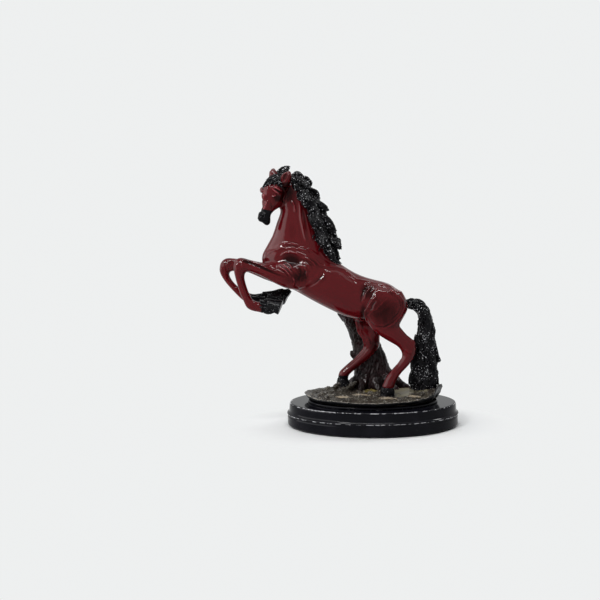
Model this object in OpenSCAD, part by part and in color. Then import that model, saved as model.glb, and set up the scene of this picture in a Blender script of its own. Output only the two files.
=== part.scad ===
// Rearing horse figurine, a set of resin castings on a black oval plinth.
// The origin is the centre of the felt underside, +Z is up and the horse faces -X.
// Its left side is towards -Y. Tables of shares are parts of cheek_height, measured from
// the ground's top under the middle of the plinth, unless the comment says otherwise.

/* [Horse] */
// Height of the horse's cheeks above the ground it rears from
cheek_height = 194; // [160:1:230]
// Turn of the head towards the left side
head_turn = 47; // [0:1:50]
// Lean of the head, far ear up
head_lean = 12; // [0:1:20]
// Diameter of the glass eyes
eye_d = 6; // [4:0.2:7]

/* [Plinth] */
// Length of the oval plinth
plinth_l = 166; // [140:1:200]
// Depth of the oval plinth, front to back
plinth_d = 110; // [92:1:132]
// Height of the plinth without its felt
plinth_h = 21.2; // [17:0.2:26]
// Thickness of the felt under the plinth
felt_t = 1; // [0.8:0.1:2]
// How far the felt stays inside the plinth's foot
felt_inset = 3; // [2:0.5:6]

/* [Ground] */
// How far the rock slab reaches out past the tail and the roots
ground_margin = 4.4; // [3:0.2:7]
// Thickness of the rock slab
ground_t = 5; // [4.2:0.2:8]
// Rise of the slab's right hand tip above the rest of its top
tip_rise = 6.5; // [3:0.5:9]
// Thickness of the collar between the plinth and the slab
collar_t = 2.3; // [1.5:0.1:4]
// How far the collar reaches out past the slab's foot
collar_lip = 3; // [1:0.5:5]

/* [Hardware] */
// Diameter of the steel wires cast into the hind legs
wire_d = 2.4; // [1.6:0.1:2.8]
// Thread diameter of the screws that hold the castings to the plinth
screw_d = 3.5; // [3:0.1:4.5]
// Diameter of the screw heads
screw_head_d = 7; // [6:0.2:8.5]
// Height of the screw heads
screw_head_h = 2.2; // [1.6:0.1:3]
// Depth of the counterbores under the plinth
counterbore_depth = 12; // [8:0.5:14]
// Distance between the two screws
screw_span = 70; // [50:1:90]
// Clearance round the screws and their heads
screw_clearance = 0.3; // [0.2:0.05:0.6]

/* [Hidden] */

lacquer = "#6b141a";
black = "#16151a";
rock = "#5b5646";
bark = "#2e211c";
steel = "#b4b8bc";
straw = "#a08a5c";

plinth_base_z = felt_t;
plinth_top_z = plinth_base_z + plinth_h;
slab_base_z = plinth_top_z + collar_t;
ground_z = slab_base_z + ground_t;
// Furthest that the tail and the roots reach from the middle, as shares of the cheek height
reach_share = [0.32, 0.207];
ground_l = 2 * (reach_share[0] * cheek_height + ground_margin);
ground_d = 2 * (reach_share[1] * cheek_height + ground_margin);
// One overrun for every cut that has to break through a face
overrun = 0.2;
// Upright edge at a stone's foot and flat on its top
stone_edge = 0.2;
screw_length = plinth_h - counterbore_depth + collar_t + 0.7 * ground_t;
wire_seat = 0.8 * ground_t;
oval_points = 72;

// Profile of the plinth: share of its half length, share of its height
plinth_profile_shares = [
  [0.976, 0], [0.99, 0.04], [0.992, 0.42], [0.984, 0.46], [0.998, 0.5], [1, 0.54], [0.988, 0.59],
  [0.972, 0.64], [0.969, 0.94], [0.957, 1]
];

// Rock slab: share of its half length, share of its thickness, share of the tip's rise
slab_ring_shares = [[0.9, 0, 0], [0.97, 0.35, 0.25], [1, 0.75, 0.8], [0.99, 1, 1], [0.94, 1, 0]];

// Each row of a limb is a section: back edge x and z, front edge x and z, half width, y.
// Walking along the limb away from the trunk, the first edge always lies on the same hand.

// Neck and trunk, from behind the ears to the buttock: crest or back, then throat or belly
body_shares = [
  [-0.415, 1.07, -0.46, 0.965, 0.0325, 0],
  [-0.37, 1.03, -0.465, 0.93, 0.04, 0],
  [-0.325, 0.965, -0.4625, 0.9, 0.0425, 0],
  [-0.2975, 0.9, -0.48, 0.8525, 0.05, 0],
  [-0.27, 0.825, -0.5025, 0.785, 0.0625, 0],
  [-0.2375, 0.75, -0.54, 0.7175, 0.0775, 0],
  [-0.215, 0.71, -0.555, 0.6725, 0.0875, 0],
  [-0.195, 0.6775, -0.535, 0.61, 0.095, 0],
  [-0.175, 0.6575, -0.465, 0.55, 0.0975, 0],
  [-0.14, 0.6325, -0.38, 0.5075, 0.1, 0],
  [-0.09, 0.6025, -0.305, 0.465, 0.1, 0],
  [-0.035, 0.58, -0.225, 0.4235, 0.0975, 0],
  [0.02, 0.565, -0.14, 0.385, 0.095, 0],
  [0.075, 0.55, -0.065, 0.3675, 0.0975, 0],
  [0.12, 0.5225, 0.01, 0.36, 0.0975, 0],
  [0.1525, 0.4875, 0.08, 0.36, 0.08, 0],
  [0.1725, 0.45, 0.13, 0.38, 0.05, 0]
];

// Where the head turns on the neck
poll_share = [-0.43, 0, 1.025];
// Head, from the poll to the lips, measured from the poll: jaw edge, then face edge
head_shares = [
  [0.023, 0.0205, -0.031, 0.0645, 0.026, 0],
  [0.0105, -0.0105, -0.072, 0.0515, 0.0385, 0],
  [-0.005, -0.041, -0.111, 0.026, 0.044, 0],
  [-0.018, -0.072, -0.1315, -0.0075, 0.0445, 0],
  [-0.0335, -0.0955, -0.133, -0.036, 0.038, 0],
  [-0.054, -0.111, -0.129, -0.0645, 0.031, 0],
  [-0.072, -0.1245, -0.127, -0.0955, 0.026, 0],
  [-0.082, -0.142, -0.1265, -0.1235, 0.0255, 0],
  [-0.08, -0.1625, -0.138, -0.1495, 0.027, 0],
  [-0.0815, -0.1805, -0.138, -0.17, 0.0235, 0],
  [-0.093, -0.191, -0.1265, -0.183, 0.0155, 0]
];
// Centre of the left eye, from the poll
eye_share = [-0.0885, -0.033, -0.0135];
// Left ear, from the poll: root, middle and tip, each with its half thickness
ear_shares = [
  [-0.049, -0.041, 0.026, 0.018], [-0.054, -0.049, 0.049, 0.019], [-0.054, -0.057, 0.072, 0.0135],
  [-0.049, -0.062, 0.09, 0.003]
];

foreleg_left_shares = [
  [-0.327, 0.528, -0.3565, 0.655, 0.045, -0.06],
  [-0.376, 0.518, -0.405, 0.655, 0.05, -0.065],
  [-0.4345, 0.5305, -0.464, 0.6475, 0.05, -0.07],
  [-0.498, 0.562, -0.5125, 0.6475, 0.0425, -0.075],
  [-0.5515, 0.589, -0.5615, 0.657, 0.035, -0.075],
  [-0.6005, 0.6075, -0.6055, 0.668, 0.03, -0.075],
  [-0.62, 0.6035, -0.6445, 0.677, 0.0325, -0.075],
  [-0.625, 0.5915, -0.6715, 0.6645, 0.0335, -0.075],
  [-0.627, 0.5815, -0.6795, 0.6305, 0.0315, -0.075],
  [-0.625, 0.567, -0.674, 0.5915, 0.0275, -0.075],
  [-0.6185, 0.5425, -0.6625, 0.5475, 0.024, -0.075],
  [-0.608, 0.513, -0.648, 0.5035, 0.0225, -0.075],
  [-0.591, 0.4765, -0.63, 0.462, 0.024, -0.075],
  [-0.576, 0.4655, -0.615, 0.4325, 0.0275, -0.075],
  [-0.5615, 0.462, -0.5885, 0.417, 0.025, -0.075],
  [-0.5445, 0.4605, -0.5565, 0.4105, 0.024, -0.075],
  [-0.525, 0.4645, -0.532, 0.4045, 0.027, -0.075]
];
front_hoof_left_shares = [
  [-0.525, 0.4645, -0.532, 0.4045, 0.027, -0.075],
  [-0.4835, 0.4715, -0.498, 0.3985, 0.032, -0.075],
  [-0.437, 0.4695, -0.454, 0.4035, 0.035, -0.075]
];

foreleg_right_shares = [
  [-0.3635, 0.512, -0.394, 0.645, 0.045, 0.065],
  [-0.4555, 0.5325, -0.476, 0.65, 0.045, 0.07],
  [-0.558, 0.568, -0.568, 0.655, 0.04, 0.075],
  [-0.6345, 0.6015, -0.645, 0.668, 0.0325, 0.075],
  [-0.6805, 0.6065, -0.706, 0.674, 0.0315, 0.075],
  [-0.7115, 0.609, -0.75, 0.6755, 0.033, 0.075],
  [-0.729, 0.604, -0.775, 0.6525, 0.032, 0.075],
  [-0.7345, 0.5915, -0.7845, 0.6145, 0.0285, 0.075],
  [-0.724, 0.568, -0.7675, 0.5735, 0.025, 0.075],
  [-0.701, 0.54, -0.737, 0.5325, 0.0225, 0.075],
  [-0.67, 0.517, -0.6985, 0.4915, 0.0225, 0.075],
  [-0.637, 0.499, -0.6625, 0.458, 0.025, 0.075],
  [-0.609, 0.4915, -0.627, 0.444, 0.026, 0.075],
  [-0.5785, 0.495, -0.5885, 0.4375, 0.025, 0.075],
  [-0.535, 0.5015, -0.5475, 0.4335, 0.028, 0.075]
];
front_hoof_right_shares = [
  [-0.535, 0.5015, -0.5475, 0.4335, 0.028, 0.075],
  [-0.476, 0.512, -0.5015, 0.43, 0.0325, 0.075],
  [-0.4145, 0.507, -0.453, 0.4375, 0.035, 0.075]
];

hind_leg_left_shares = [
  [0.142, 0.513, 0.0145, 0.513, 0.03, -0.06],
  [0.164, 0.469, -0.0295, 0.464, 0.055, -0.0575],
  [0.1685, 0.425, -0.0415, 0.4105, 0.06, -0.0575],
  [0.149, 0.3785, -0.027, 0.3665, 0.0575, -0.06],
  [0.132, 0.3465, 0, 0.3235, 0.05, -0.065],
  [0.142, 0.3295, 0.039, 0.2915, 0.0425, -0.07],
  [0.1685, 0.298, 0.0805, 0.2665, 0.0365, -0.07],
  [0.1955, 0.276, 0.1175, 0.245, 0.033, -0.07],
  [0.2105, 0.2465, 0.1385, 0.2195, 0.031, -0.07],
  [0.2055, 0.2, 0.142, 0.1905, 0.029, -0.07],
  [0.176, 0.1515, 0.1245, 0.1635, 0.025, -0.07],
  [0.142, 0.1155, 0.093, 0.129, 0.0235, -0.07],
  [0.1175, 0.08, 0.066, 0.095, 0.0255, -0.07],
  [0.11, 0.058, 0.054, 0.068, 0.027, -0.07],
  [0.1025, 0.036, 0.043, 0.0435, 0.027, -0.07]
];
hind_hoof_left_shares = [
  [0.1025, 0.036, 0.043, 0.0435, 0.027, -0.07],
  [0.1055, 0.018, 0.038, 0.021, 0.03, -0.07],
  [0.1075, 0, 0.034, 0, 0.033, -0.07]
];

// Top of the rock under the right hind hoof
hoof_rock_share = 0.0215;
hind_leg_right_shares = [
  [0.128, 0.497, -0.056, 0.4915, 0.03, 0.06],
  [0.1075, 0.4355, -0.102, 0.4305, 0.055, 0.0575],
  [0.082, 0.379, -0.0995, 0.369, 0.0575, 0.0575],
  [0.056, 0.3335, -0.087, 0.323, 0.049, 0.065],
  [0.0385, 0.2925, -0.0715, 0.29, 0.04, 0.07],
  [0.036, 0.2565, -0.051, 0.259, 0.035, 0.07],
  [0.033, 0.221, -0.0435, 0.2335, 0.032, 0.07],
  [0.0075, 0.1875, -0.0535, 0.2055, 0.028, 0.07],
  [-0.036, 0.1495, -0.0845, 0.1725, 0.0245, 0.07],
  [-0.082, 0.1135, -0.1225, 0.1415, 0.0235, 0.07],
  [-0.1125, 0.088, -0.1525, 0.1145, 0.025, 0.07],
  [-0.125, 0.07, -0.172, 0.093, 0.0265, 0.07],
  [-0.125, 0.0495, -0.1775, 0.065, 0.027, 0.07]
];
hind_hoof_right_shares = [
  [-0.125, 0.0495, -0.1775, 0.065, 0.027, 0.07],
  [-0.12, 0.036, -0.183, 0.041, 0.03, 0.07],
  [-0.115, hoof_rock_share, -0.1865, hoof_rock_share, 0.033, 0.07]
];

// Ends of the steel wires, inside the cannon and at the ground under the hoof
wire_left_shares = [[0.15, -0.07, 0.165], [0.055, -0.07, 0]];
wire_right_shares = [[-0.135, 0.07, 0.105], [-0.157, 0.07, 0]];

// Tail, from the dock to the ground: outer edge, then inner edge
tail_shares = [
  [0.15, 0.4675, 0.15, 0.4275, 0.02, 0.01],
  [0.19, 0.466, 0.19, 0.4275, 0.0225, 0.01],
  [0.2275, 0.459, 0.21, 0.415, 0.026, 0.01],
  [0.2625, 0.44, 0.2275, 0.39, 0.03, 0.01],
  [0.285, 0.405, 0.238, 0.355, 0.032, 0.01],
  [0.295, 0.355, 0.235, 0.31, 0.034, 0.01],
  [0.3, 0.29, 0.226, 0.275, 0.038, 0.01],
  [0.308, 0.225, 0.218, 0.215, 0.04, 0.01],
  [0.315, 0.17, 0.21, 0.16, 0.042, 0.01],
  [0.312, 0.12, 0.2, 0.115, 0.045, 0.01],
  [0.31, 0.07, 0.192, 0.07, 0.047, 0.01],
  [0.298, 0, 0.208, 0, 0.045, 0.01]
];
// Locks on the tail: first and last place along it, angle round it, turn, half thickness
tail_lock_shares = [
  [0.08, 0.62, 0, 60, 0.013], [0.12, 0.8, 70, 80, 0.014], [0.16, 0.9, 140, -70, 0.014],
  [0.14, 0.84, 215, 75, 0.014], [0.1, 0.74, 290, -60, 0.013], [0.42, 0.97, 20, -80, 0.015],
  [0.46, 0.985, 110, 70, 0.015], [0.5, 0.985, 185, 65, 0.015], [0.44, 0.98, 255, -75, 0.015],
  [0.55, 0.985, 325, 60, 0.014]
];

// Mass of the mane along the crest: outer edge, then inner edge
mane_shares = [
  [-0.4, 1.09, -0.425, 1.06, 0.018, 0],
  [-0.355, 1.068, -0.4, 1.025, 0.036, 0],
  [-0.318, 1.02, -0.375, 0.97, 0.044, 0],
  [-0.29, 0.968, -0.345, 0.925, 0.046, 0],
  [-0.265, 0.91, -0.32, 0.88, 0.05, 0],
  [-0.246, 0.855, -0.305, 0.83, 0.053, 0],
  [-0.226, 0.8, -0.285, 0.775, 0.056, 0],
  [-0.206, 0.75, -0.255, 0.725, 0.052, 0],
  [-0.192, 0.705, -0.23, 0.68, 0.038, 0],
  [-0.182, 0.672, -0.205, 0.663, 0.015, 0]
];
// Locks of the mane: root x, y, z, then tip x, y, z, half thickness, swing to the side
mane_lock_shares = [
  [-0.41, 0, 1.075, -0.345, 0.02, 1.085, 0.018, -0.012],
  [-0.4, -0.02, 1.06, -0.31, -0.035, 1.045, 0.018, 0.014],
  [-0.385, 0.015, 1.045, -0.275, 0.03, 0.995, 0.02, -0.014],
  [-0.385, -0.03, 1.03, -0.3, -0.06, 0.955, 0.018, 0.014],
  [-0.35, 0, 1.01, -0.232, 0.005, 0.93, 0.02, 0.016],
  [-0.355, -0.035, 0.99, -0.275, -0.062, 0.9, 0.018, -0.014],
  [-0.325, 0.02, 0.96, -0.235, 0.035, 0.882, 0.02, -0.014],
  [-0.33, -0.04, 0.94, -0.255, -0.066, 0.85, 0.018, 0.014],
  [-0.305, 0, 0.92, -0.196, -0.005, 0.832, 0.02, 0.015],
  [-0.31, -0.045, 0.89, -0.25, -0.072, 0.79, 0.019, -0.014],
  [-0.285, 0.02, 0.87, -0.184, 0.035, 0.782, 0.02, -0.015],
  [-0.29, -0.045, 0.84, -0.222, -0.074, 0.74, 0.019, 0.014],
  [-0.265, 0, 0.82, -0.168, -0.01, 0.748, 0.02, 0.015],
  [-0.27, -0.045, 0.79, -0.205, -0.07, 0.695, 0.018, -0.013],
  [-0.245, 0.015, 0.77, -0.178, 0.02, 0.69, 0.018, 0.013],
  [-0.35, 0.035, 0.99, -0.27, 0.06, 0.91, 0.018, 0.014],
  [-0.31, 0.045, 0.9, -0.24, 0.068, 0.81, 0.018, -0.014],
  [-0.27, 0.045, 0.81, -0.205, 0.068, 0.72, 0.018, 0.014]
];
// Locks of the forelock, measured from the poll in the same way
forelock_shares = [
  [-0.045, 0, 0.065, -0.13, 0.004, 0.01, 0.014, 0.01],
  [-0.04, 0.018, 0.06, -0.126, 0.038, 0.004, 0.013, -0.012],
  [-0.04, -0.018, 0.058, -0.112, -0.033, 0.018, 0.013, 0.012],
  [-0.04, 0.026, 0.055, -0.102, 0.048, 0.014, 0.011, 0.008],
  [-0.04, -0.004, 0.055, -0.042, -0.002, 0.095, 0.016, 0.004],
  [-0.045, -0.002, 0.086, -0.006, -0.012, 0.111, 0.014, -0.003]
];

// Dead trunk behind the right hind leg, going up: left edge, then right edge
trunk_shares = [
  [-0.11, 0, 0.13, 0, 0.055, 0.15],
  [-0.094, 0.0665, 0.094, 0.07, 0.05, 0.15],
  [-0.0965, 0.145, 0.073, 0.155, 0.048, 0.15],
  [-0.104, 0.223, 0.0415, 0.22, 0.046, 0.145],
  [-0.124, 0.293, 0.01, 0.2825, 0.046, 0.13],
  [-0.147, 0.3465, -0.026, 0.3465, 0.046, 0.105],
  [-0.1785, 0.385, -0.05, 0.4, 0.046, 0.085],
  [-0.185, 0.44, -0.06, 0.45, 0.04, 0.07]
];
// Roots: start x, y, z and end x, y, with the half thickness at the start
root_shares = [
  [-0.06, 0.13, 0.06, -0.16, 0.13, 0.03],
  [-0.05, 0.18, 0.06, -0.12, 0.19, 0.028],
  [0, 0.18, 0.07, -0.02, 0.205, 0.028],
  [0.05, 0.175, 0.07, 0.11, 0.19, 0.028],
  [0.07, 0.15, 0.08, 0.19, 0.14, 0.03],
  [0.06, 0.12, 0.06, 0.13, 0.085, 0.026],
  [0.01, 0.11, 0.05, 0.03, 0.05, 0.024],
  [-0.04, 0.11, 0.05, -0.07, 0.05, 0.022]
];
// Broken branch on the left of the trunk: root and tip
branch_shares = [[-0.07, 0.15, 0.17], [-0.112, 0.14, 0.186]];

// Loose stones on the slab: x, y, radius, height as a share of the radius
stone_shares = [
  [-0.25, -0.05, 0.022, 0.6], [-0.22, -0.13, 0.018, 0.7], [-0.21, 0, 0.014, 0.8],
  [-0.14, -0.09, 0.017, 0.6], [-0.11, -0.16, 0.02, 0.5], [-0.06, -0.11, 0.015, 0.8],
  [-0.03, -0.17, 0.016, 0.6], [0.01, -0.13, 0.013, 0.7], [0.16, -0.13, 0.016, 0.7],
  [0.19, -0.07, 0.015, 0.6], [0.24, -0.08, 0.02, 0.5], [0.24, 0.08, 0.018, 0.6],
  [0.2, 0.105, 0.014, 0.8], [-0.23, 0.1, 0.02, 0.6], [-0.19, 0.15, 0.016, 0.7],
  [0.13, -0.17, 0.014, 0.6], [-0.01, -0.01, 0.016, 0.7], [0.06, 0.02, 0.014, 0.8]
];
// Twigs and leaves on the slab: start x, y, end x, y and half thickness
twig_shares = [
  [0.04, -0.145, 0.1, -0.155, 0.006], [-0.17, -0.11, -0.11, -0.13, 0.005],
  [-0.09, -0.06, -0.02, -0.075, 0.005], [0.18, -0.105, 0.22, -0.12, 0.005]
];

// Point on a smooth curve through four places, between the middle two
function between(a, b, c, d, t) =
  (b * 2 + (c - a) * t + (a * 2 - b * 5 + c * 4 - d) * t * t
    + (b * 3 - c * 3 + d - a) * t * t * t) / 2;

// The rows of a table with smooth rows added between them
function fine_rows(rows, steps) = let (last = len(rows) - 1) [
  for (i = [0:last - 1]) for (s = [0:steps - 1])
    between(rows[max(i - 1, 0)], rows[i], rows[i + 1], rows[min(i + 2, last)], s / steps),
  rows[last]
];

// Elliptical section of a limb from one row, in millimetres
function section(row, sides) = let (
  back = [row[0], row[5], row[1]],
  front = [row[2], row[5], row[3]],
  middle = (back + front) / 2,
  arm = (back - front) / 2
) [for (i = [0:sides - 1]) let (a = 360 * i / sides)
  (middle + arm * cos(a) + [0, row[4], 0] * sin(a)) * cheek_height];

function mean(points) = [for (k = [0:2]) sum([for (p = points) p[k]]) / len(points)];
function sum(list, i = 0) = i < len(list) ? list[i] + sum(list, i + 1) : 0;

// Place of a table's point above the ground, in millimetres
function place(share) = share * cheek_height + [0, 0, ground_z];

// Closed solid through a list of rings with equal numbers of points
module skin(rings) {
  sides = len(rings[0]);
  last = len(rings) - 1;
  points = [for (ring = rings) each ring, mean(rings[0]), mean(rings[last])];
  start = sides * (last + 1);
  walls = [for (r = [0:last - 1]) for (i = [0:sides - 1]) let (
      a = r * sides + i,
      b = r * sides + (i + 1) % sides
    ) each [[a, b, a + sides], [b, b + sides, a + sides]]];
  ends = [for (i = [0:sides - 1]) each [
      [start, (i + 1) % sides, i],
      [start + 1, last * sides + i, last * sides + (i + 1) % sides]
    ]];
  polyhedron(points, concat(walls, ends));
}

// A limb skinned through its table of sections, standing on the ground
module limb(shares, steps, sides) {
  translate([0, 0, ground_z]) skin([for (row = fine_rows(shares, steps)) section(row, sides)]);
}

// Chain of balls along a path, each with its own radius
module strand(path, radii, facets) {
  for (i = [0:len(path) - 2]) hull() {
    translate(path[i]) sphere(radii[i], $fn = facets);
    translate(path[i + 1]) sphere(radii[i + 1], $fn = facets);
  }
}

// One curling lock from a row of root, tip, half thickness and side swing
module lock(row, pieces) {
  root = [row[0], row[1], row[2]] * cheek_height;
  tip = [row[3], row[4], row[5]] * cheek_height;
  thick = row[6] * cheek_height;
  swing = row[7] * cheek_height;
  steps = [for (i = [0:pieces]) i / pieces];
  path = [for (s = steps) root + (tip - root) * s + [0, swing, swing] * sin(360 * s)];
  radii = [for (s = steps) thick * (0.3 + 0.7 * sin(35 + 125 * s))];
  strand(path, radii, 6);
}

// Everything below the ground's flat top
module below_ground() {
  translate([0, 0, ground_z - cheek_height]) linear_extrude(cheek_height)
    polygon(oval(2 * plinth_l, 2 * plinth_d));
}

// Round bar between two points
module bar(start, end, diameter) {
  run = end - start;
  length = norm(run);
  translate(start) rotate([0, acos(run[2] / length), atan2(run[1], run[0])])
    cylinder(h = length, d = diameter, $fn = 48);
}

// Puts what follows in the turned frame of the head
module on_head() {
  translate(place(poll_share)) rotate([head_lean, 0, head_turn]) children();
}

function oval(length, depth) = [for (i = [0:oval_points - 1]) let (a = 360 * i / oval_points)
  [length / 2 * cos(a), depth / 2 * sin(a)]];

// Uneven outline of the rock slab at one level
function slab_ring(level) = [for (i = [0:oval_points / 2 - 1]) let (
    a = 720 * i / oval_points,
    wobble = 1 + 0.025 * sin(3 * a + 20) + 0.018 * sin(7 * a) + 0.012 * cos(13 * a),
    lift = level[2] * tip_rise * pow(max(cos(a), 0), 6)
  ) [ground_l / 2 * level[0] * wobble * cos(a), ground_d / 2 * level[0] * wobble * sin(a),
    slab_base_z + level[1] * ground_t + lift]];

module at_screws() {
  for (side = [-1, 1]) translate([side * screw_span / 2, 0, plinth_base_z]) children();
}

module screw(clearance) {
  translate([0, 0, counterbore_depth - screw_head_h])
    cylinder(h = screw_head_h, d = screw_head_d + 2 * clearance, $fn = 48);
  translate([0, 0, counterbore_depth]) cylinder(h = screw_length, d = screw_d, $fn = 48);
}

module felt_pad() {
  color(black) linear_extrude(felt_t)
    polygon(oval(plinth_l - 2 * felt_inset, plinth_d - 2 * felt_inset));
}

module plinth() {
  color(black) difference() {
    skin([for (p = plinth_profile_shares)
      [for (q = oval(p[0] * plinth_l, p[0] * plinth_d)) [q[0], q[1], plinth_base_z + p[1] * plinth_h]]]);
    at_screws() translate([0, 0, -overrun])
      cylinder(h = counterbore_depth + overrun, d = screw_head_d + 2 * screw_clearance, $fn = 48);
    at_screws() cylinder(h = plinth_h + overrun, d = screw_d + 2 * screw_clearance, $fn = 48);
  }
}

module base_screws() {
  color(steel) at_screws() screw(0);
}

module collar() {
  color(black) difference() {
    translate([0, 0, plinth_top_z]) linear_extrude(collar_t)
      polygon(oval(0.9 * ground_l + 2 * collar_lip, 0.9 * ground_d + 2 * collar_lip));
    at_screws() cylinder(h = plinth_h + collar_t + overrun, d = screw_d + 2 * screw_clearance, $fn = 48);
  }
}

module ground_slab() {
  color(rock) difference() {
    skin([for (level = slab_ring_shares) slab_ring(level)]);
    at_screws() screw(0);
    leg_wires();
  }
}

module hoof_rock() {
  color(rock) difference() {
    translate([0, 0, ground_z]) skin([for (level = [[1.25, 0], [1.2, 0.5], [1.02, 1]])
      [for (i = [0:11]) let (a = 30 * i, bump = 1 + 0.08 * sin(3 * a))
        [-0.151 + 0.04 * level[0] * bump * cos(a), 0.07 + 0.036 * level[0] * bump * sin(a),
          level[1] * hoof_rock_share] * cheek_height]]);
    leg_wires();
  }
}

module stones() {
  color(rock) for (s = stone_shares) translate(place([s[0], s[1], 0])) hull() {
    linear_extrude(stone_edge) circle(s[2] * cheek_height, $fn = 7);
    translate([0, 0, s[3] * s[2] * cheek_height]) rotate([0, 0, 25])
      linear_extrude(stone_edge) circle(0.5 * s[2] * cheek_height, $fn = 5);
  }
}

module twigs() {
  color(straw) for (t = twig_shares) hull() {
    for (end = [[t[0], t[1], 0], [t[2], t[3], 0]])
      translate(place(end)) cylinder(h = t[4] * cheek_height, r = t[4] * cheek_height, $fn = 6);
  }
}

module tree_trunk() {
  color(bark) difference() {
    union() {
      limb(trunk_shares, 2, 14);
      for (r = root_shares) {
        start = place([r[0], r[1], r[2]]);
        end = place([r[3], r[4], 0]);
        middle = (start + end) / 2 - [0, 0, 0.15 * (start - end)[2]];
        thick = r[5] * cheek_height;
        strand([start, middle, end], [thick, 0.75 * thick, 0.3 * thick], 8);
      }
      strand([for (p = branch_shares) place(p)], [0.02 * cheek_height, 0.008 * cheek_height], 8);
    }
    below_ground();
    body_form();
    hind_leg_right_form();
    hind_leg_left_form();
    hoof_rock();
    hind_hoof_right_form();
  }
}

module leg_wires() {
  color(steel) for (shares = [wire_left_shares, wire_right_shares]) {
    top = place(shares[0]);
    foot = place(shares[1]);
    bar(top, foot + (foot - top) * wire_seat / (top - foot)[2], wire_d);
  }
}

module body_form() {
  limb(body_shares, 2, 24);
}

module head_form() {
  on_head() skin([for (row = fine_rows(head_shares, 2)) section(row, 18)]);
}

module hind_leg_left_form() {
  limb(hind_leg_left_shares, 2, 14);
}

module hind_leg_right_form() {
  limb(hind_leg_right_shares, 2, 14);
}

module hind_hoof_right_form() {
  limb(hind_hoof_right_shares, 2, 14);
}

module body() {
  color(lacquer) body_form();
}

module head() {
  color(lacquer) difference() {
    head_form();
    body_form();
    eye_left();
    eye_right();
  }
}

module ear(side) {
  on_head() mirror([0, side > 0 ? 1 : 0, 0])
    strand([for (e = ear_shares) [e[0], e[1], e[2]] * cheek_height],
      [for (e = ear_shares) e[3] * cheek_height], 12);
}

module ear_left() {
  color(lacquer) difference() {
    ear(-1);
    head_form();
  }
}

module ear_right() {
  color(lacquer) difference() {
    ear(1);
    head_form();
  }
}

module eye(side) {
  on_head() translate([eye_share[0], -side * eye_share[1], eye_share[2]] * cheek_height)
    sphere(d = eye_d, $fn = 32);
}

module eye_left() {
  color(black) eye(-1);
}

module eye_right() {
  color(black) eye(1);
}

module forelock() {
  color(black) difference() {
    on_head() for (row = forelock_shares) lock(row, 5);
    head_form();
    body_form();
    ear(-1);
    ear(1);
  }
}

module mane() {
  color(black) difference() {
    union() {
      limb(mane_shares, 2, 12);
      translate([0, 0, ground_z]) for (row = mane_lock_shares) lock(row, 5);
    }
    body_form();
    head_form();
    ear(-1);
    ear(1);
    on_head() for (row = forelock_shares) lock(row, 5);
  }
}

module foreleg_left() {
  color(lacquer) difference() {
    limb(foreleg_left_shares, 2, 14);
    body_form();
  }
}

module foreleg_right() {
  color(lacquer) difference() {
    limb(foreleg_right_shares, 2, 14);
    body_form();
  }
}

module front_hoof_left() {
  color(black) limb(front_hoof_left_shares, 2, 14);
}

module front_hoof_right() {
  color(black) limb(front_hoof_right_shares, 2, 14);
}

module hind_leg_left() {
  color(lacquer) difference() {
    hind_leg_left_form();
    body_form();
    leg_wires();
  }
}

module hind_leg_right() {
  color(lacquer) difference() {
    hind_leg_right_form();
    body_form();
    leg_wires();
  }
}

module hind_hoof_left() {
  color(black) difference() {
    limb(hind_hoof_left_shares, 2, 14);
    leg_wires();
  }
}

module hind_hoof_right() {
  color(black) difference() {
    hind_hoof_right_form();
    leg_wires();
  }
}

// Curling lock that lies along the tail's surface
module tail_lock(row, rows) {
  pieces = 7;
  steps = [for (i = [0:pieces]) i / pieces];
  path = [for (s = steps) let (
      spot = (row[0] + (row[1] - row[0]) * s) * (len(rows) - 1),
      near = rows[floor(spot)] * (1 - spot + floor(spot)) + rows[ceil(spot)] * (spot - floor(spot)),
      a = row[2] + row[3] * sin(200 * s),
      back = [near[0], near[5], near[1]],
      front = [near[2], near[5], near[3]]
    ) ((back + front) / 2 + (back - front) / 2 * cos(a) + [0, near[4], 0] * sin(a)) * cheek_height];
  radii = [for (s = steps) row[4] * cheek_height * (0.3 + 0.7 * sin(25 + 135 * s))];
  translate([0, 0, ground_z]) strand(path, radii, 6);
}

module tail() {
  rows = fine_rows(tail_shares, 2);
  color(black) difference() {
    union() {
      limb(tail_shares, 2, 14);
      for (row = tail_lock_shares) tail_lock(row, rows);
    }
    body_form();
    hind_leg_left_form();
    hind_leg_right_form();
    below_ground();
  }
}

felt_pad();
plinth();
base_screws();
collar();
ground_slab();
hoof_rock();
stones();
twigs();
tree_trunk();
leg_wires();
body();
head();
ear_left();
ear_right();
eye_left();
eye_right();
forelock();
mane();
foreleg_left();
foreleg_right();
front_hoof_left();
front_hoof_right();
hind_leg_left();
hind_leg_right();
hind_hoof_left();
hind_hoof_right();
tail();
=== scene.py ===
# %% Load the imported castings
import math

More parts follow.
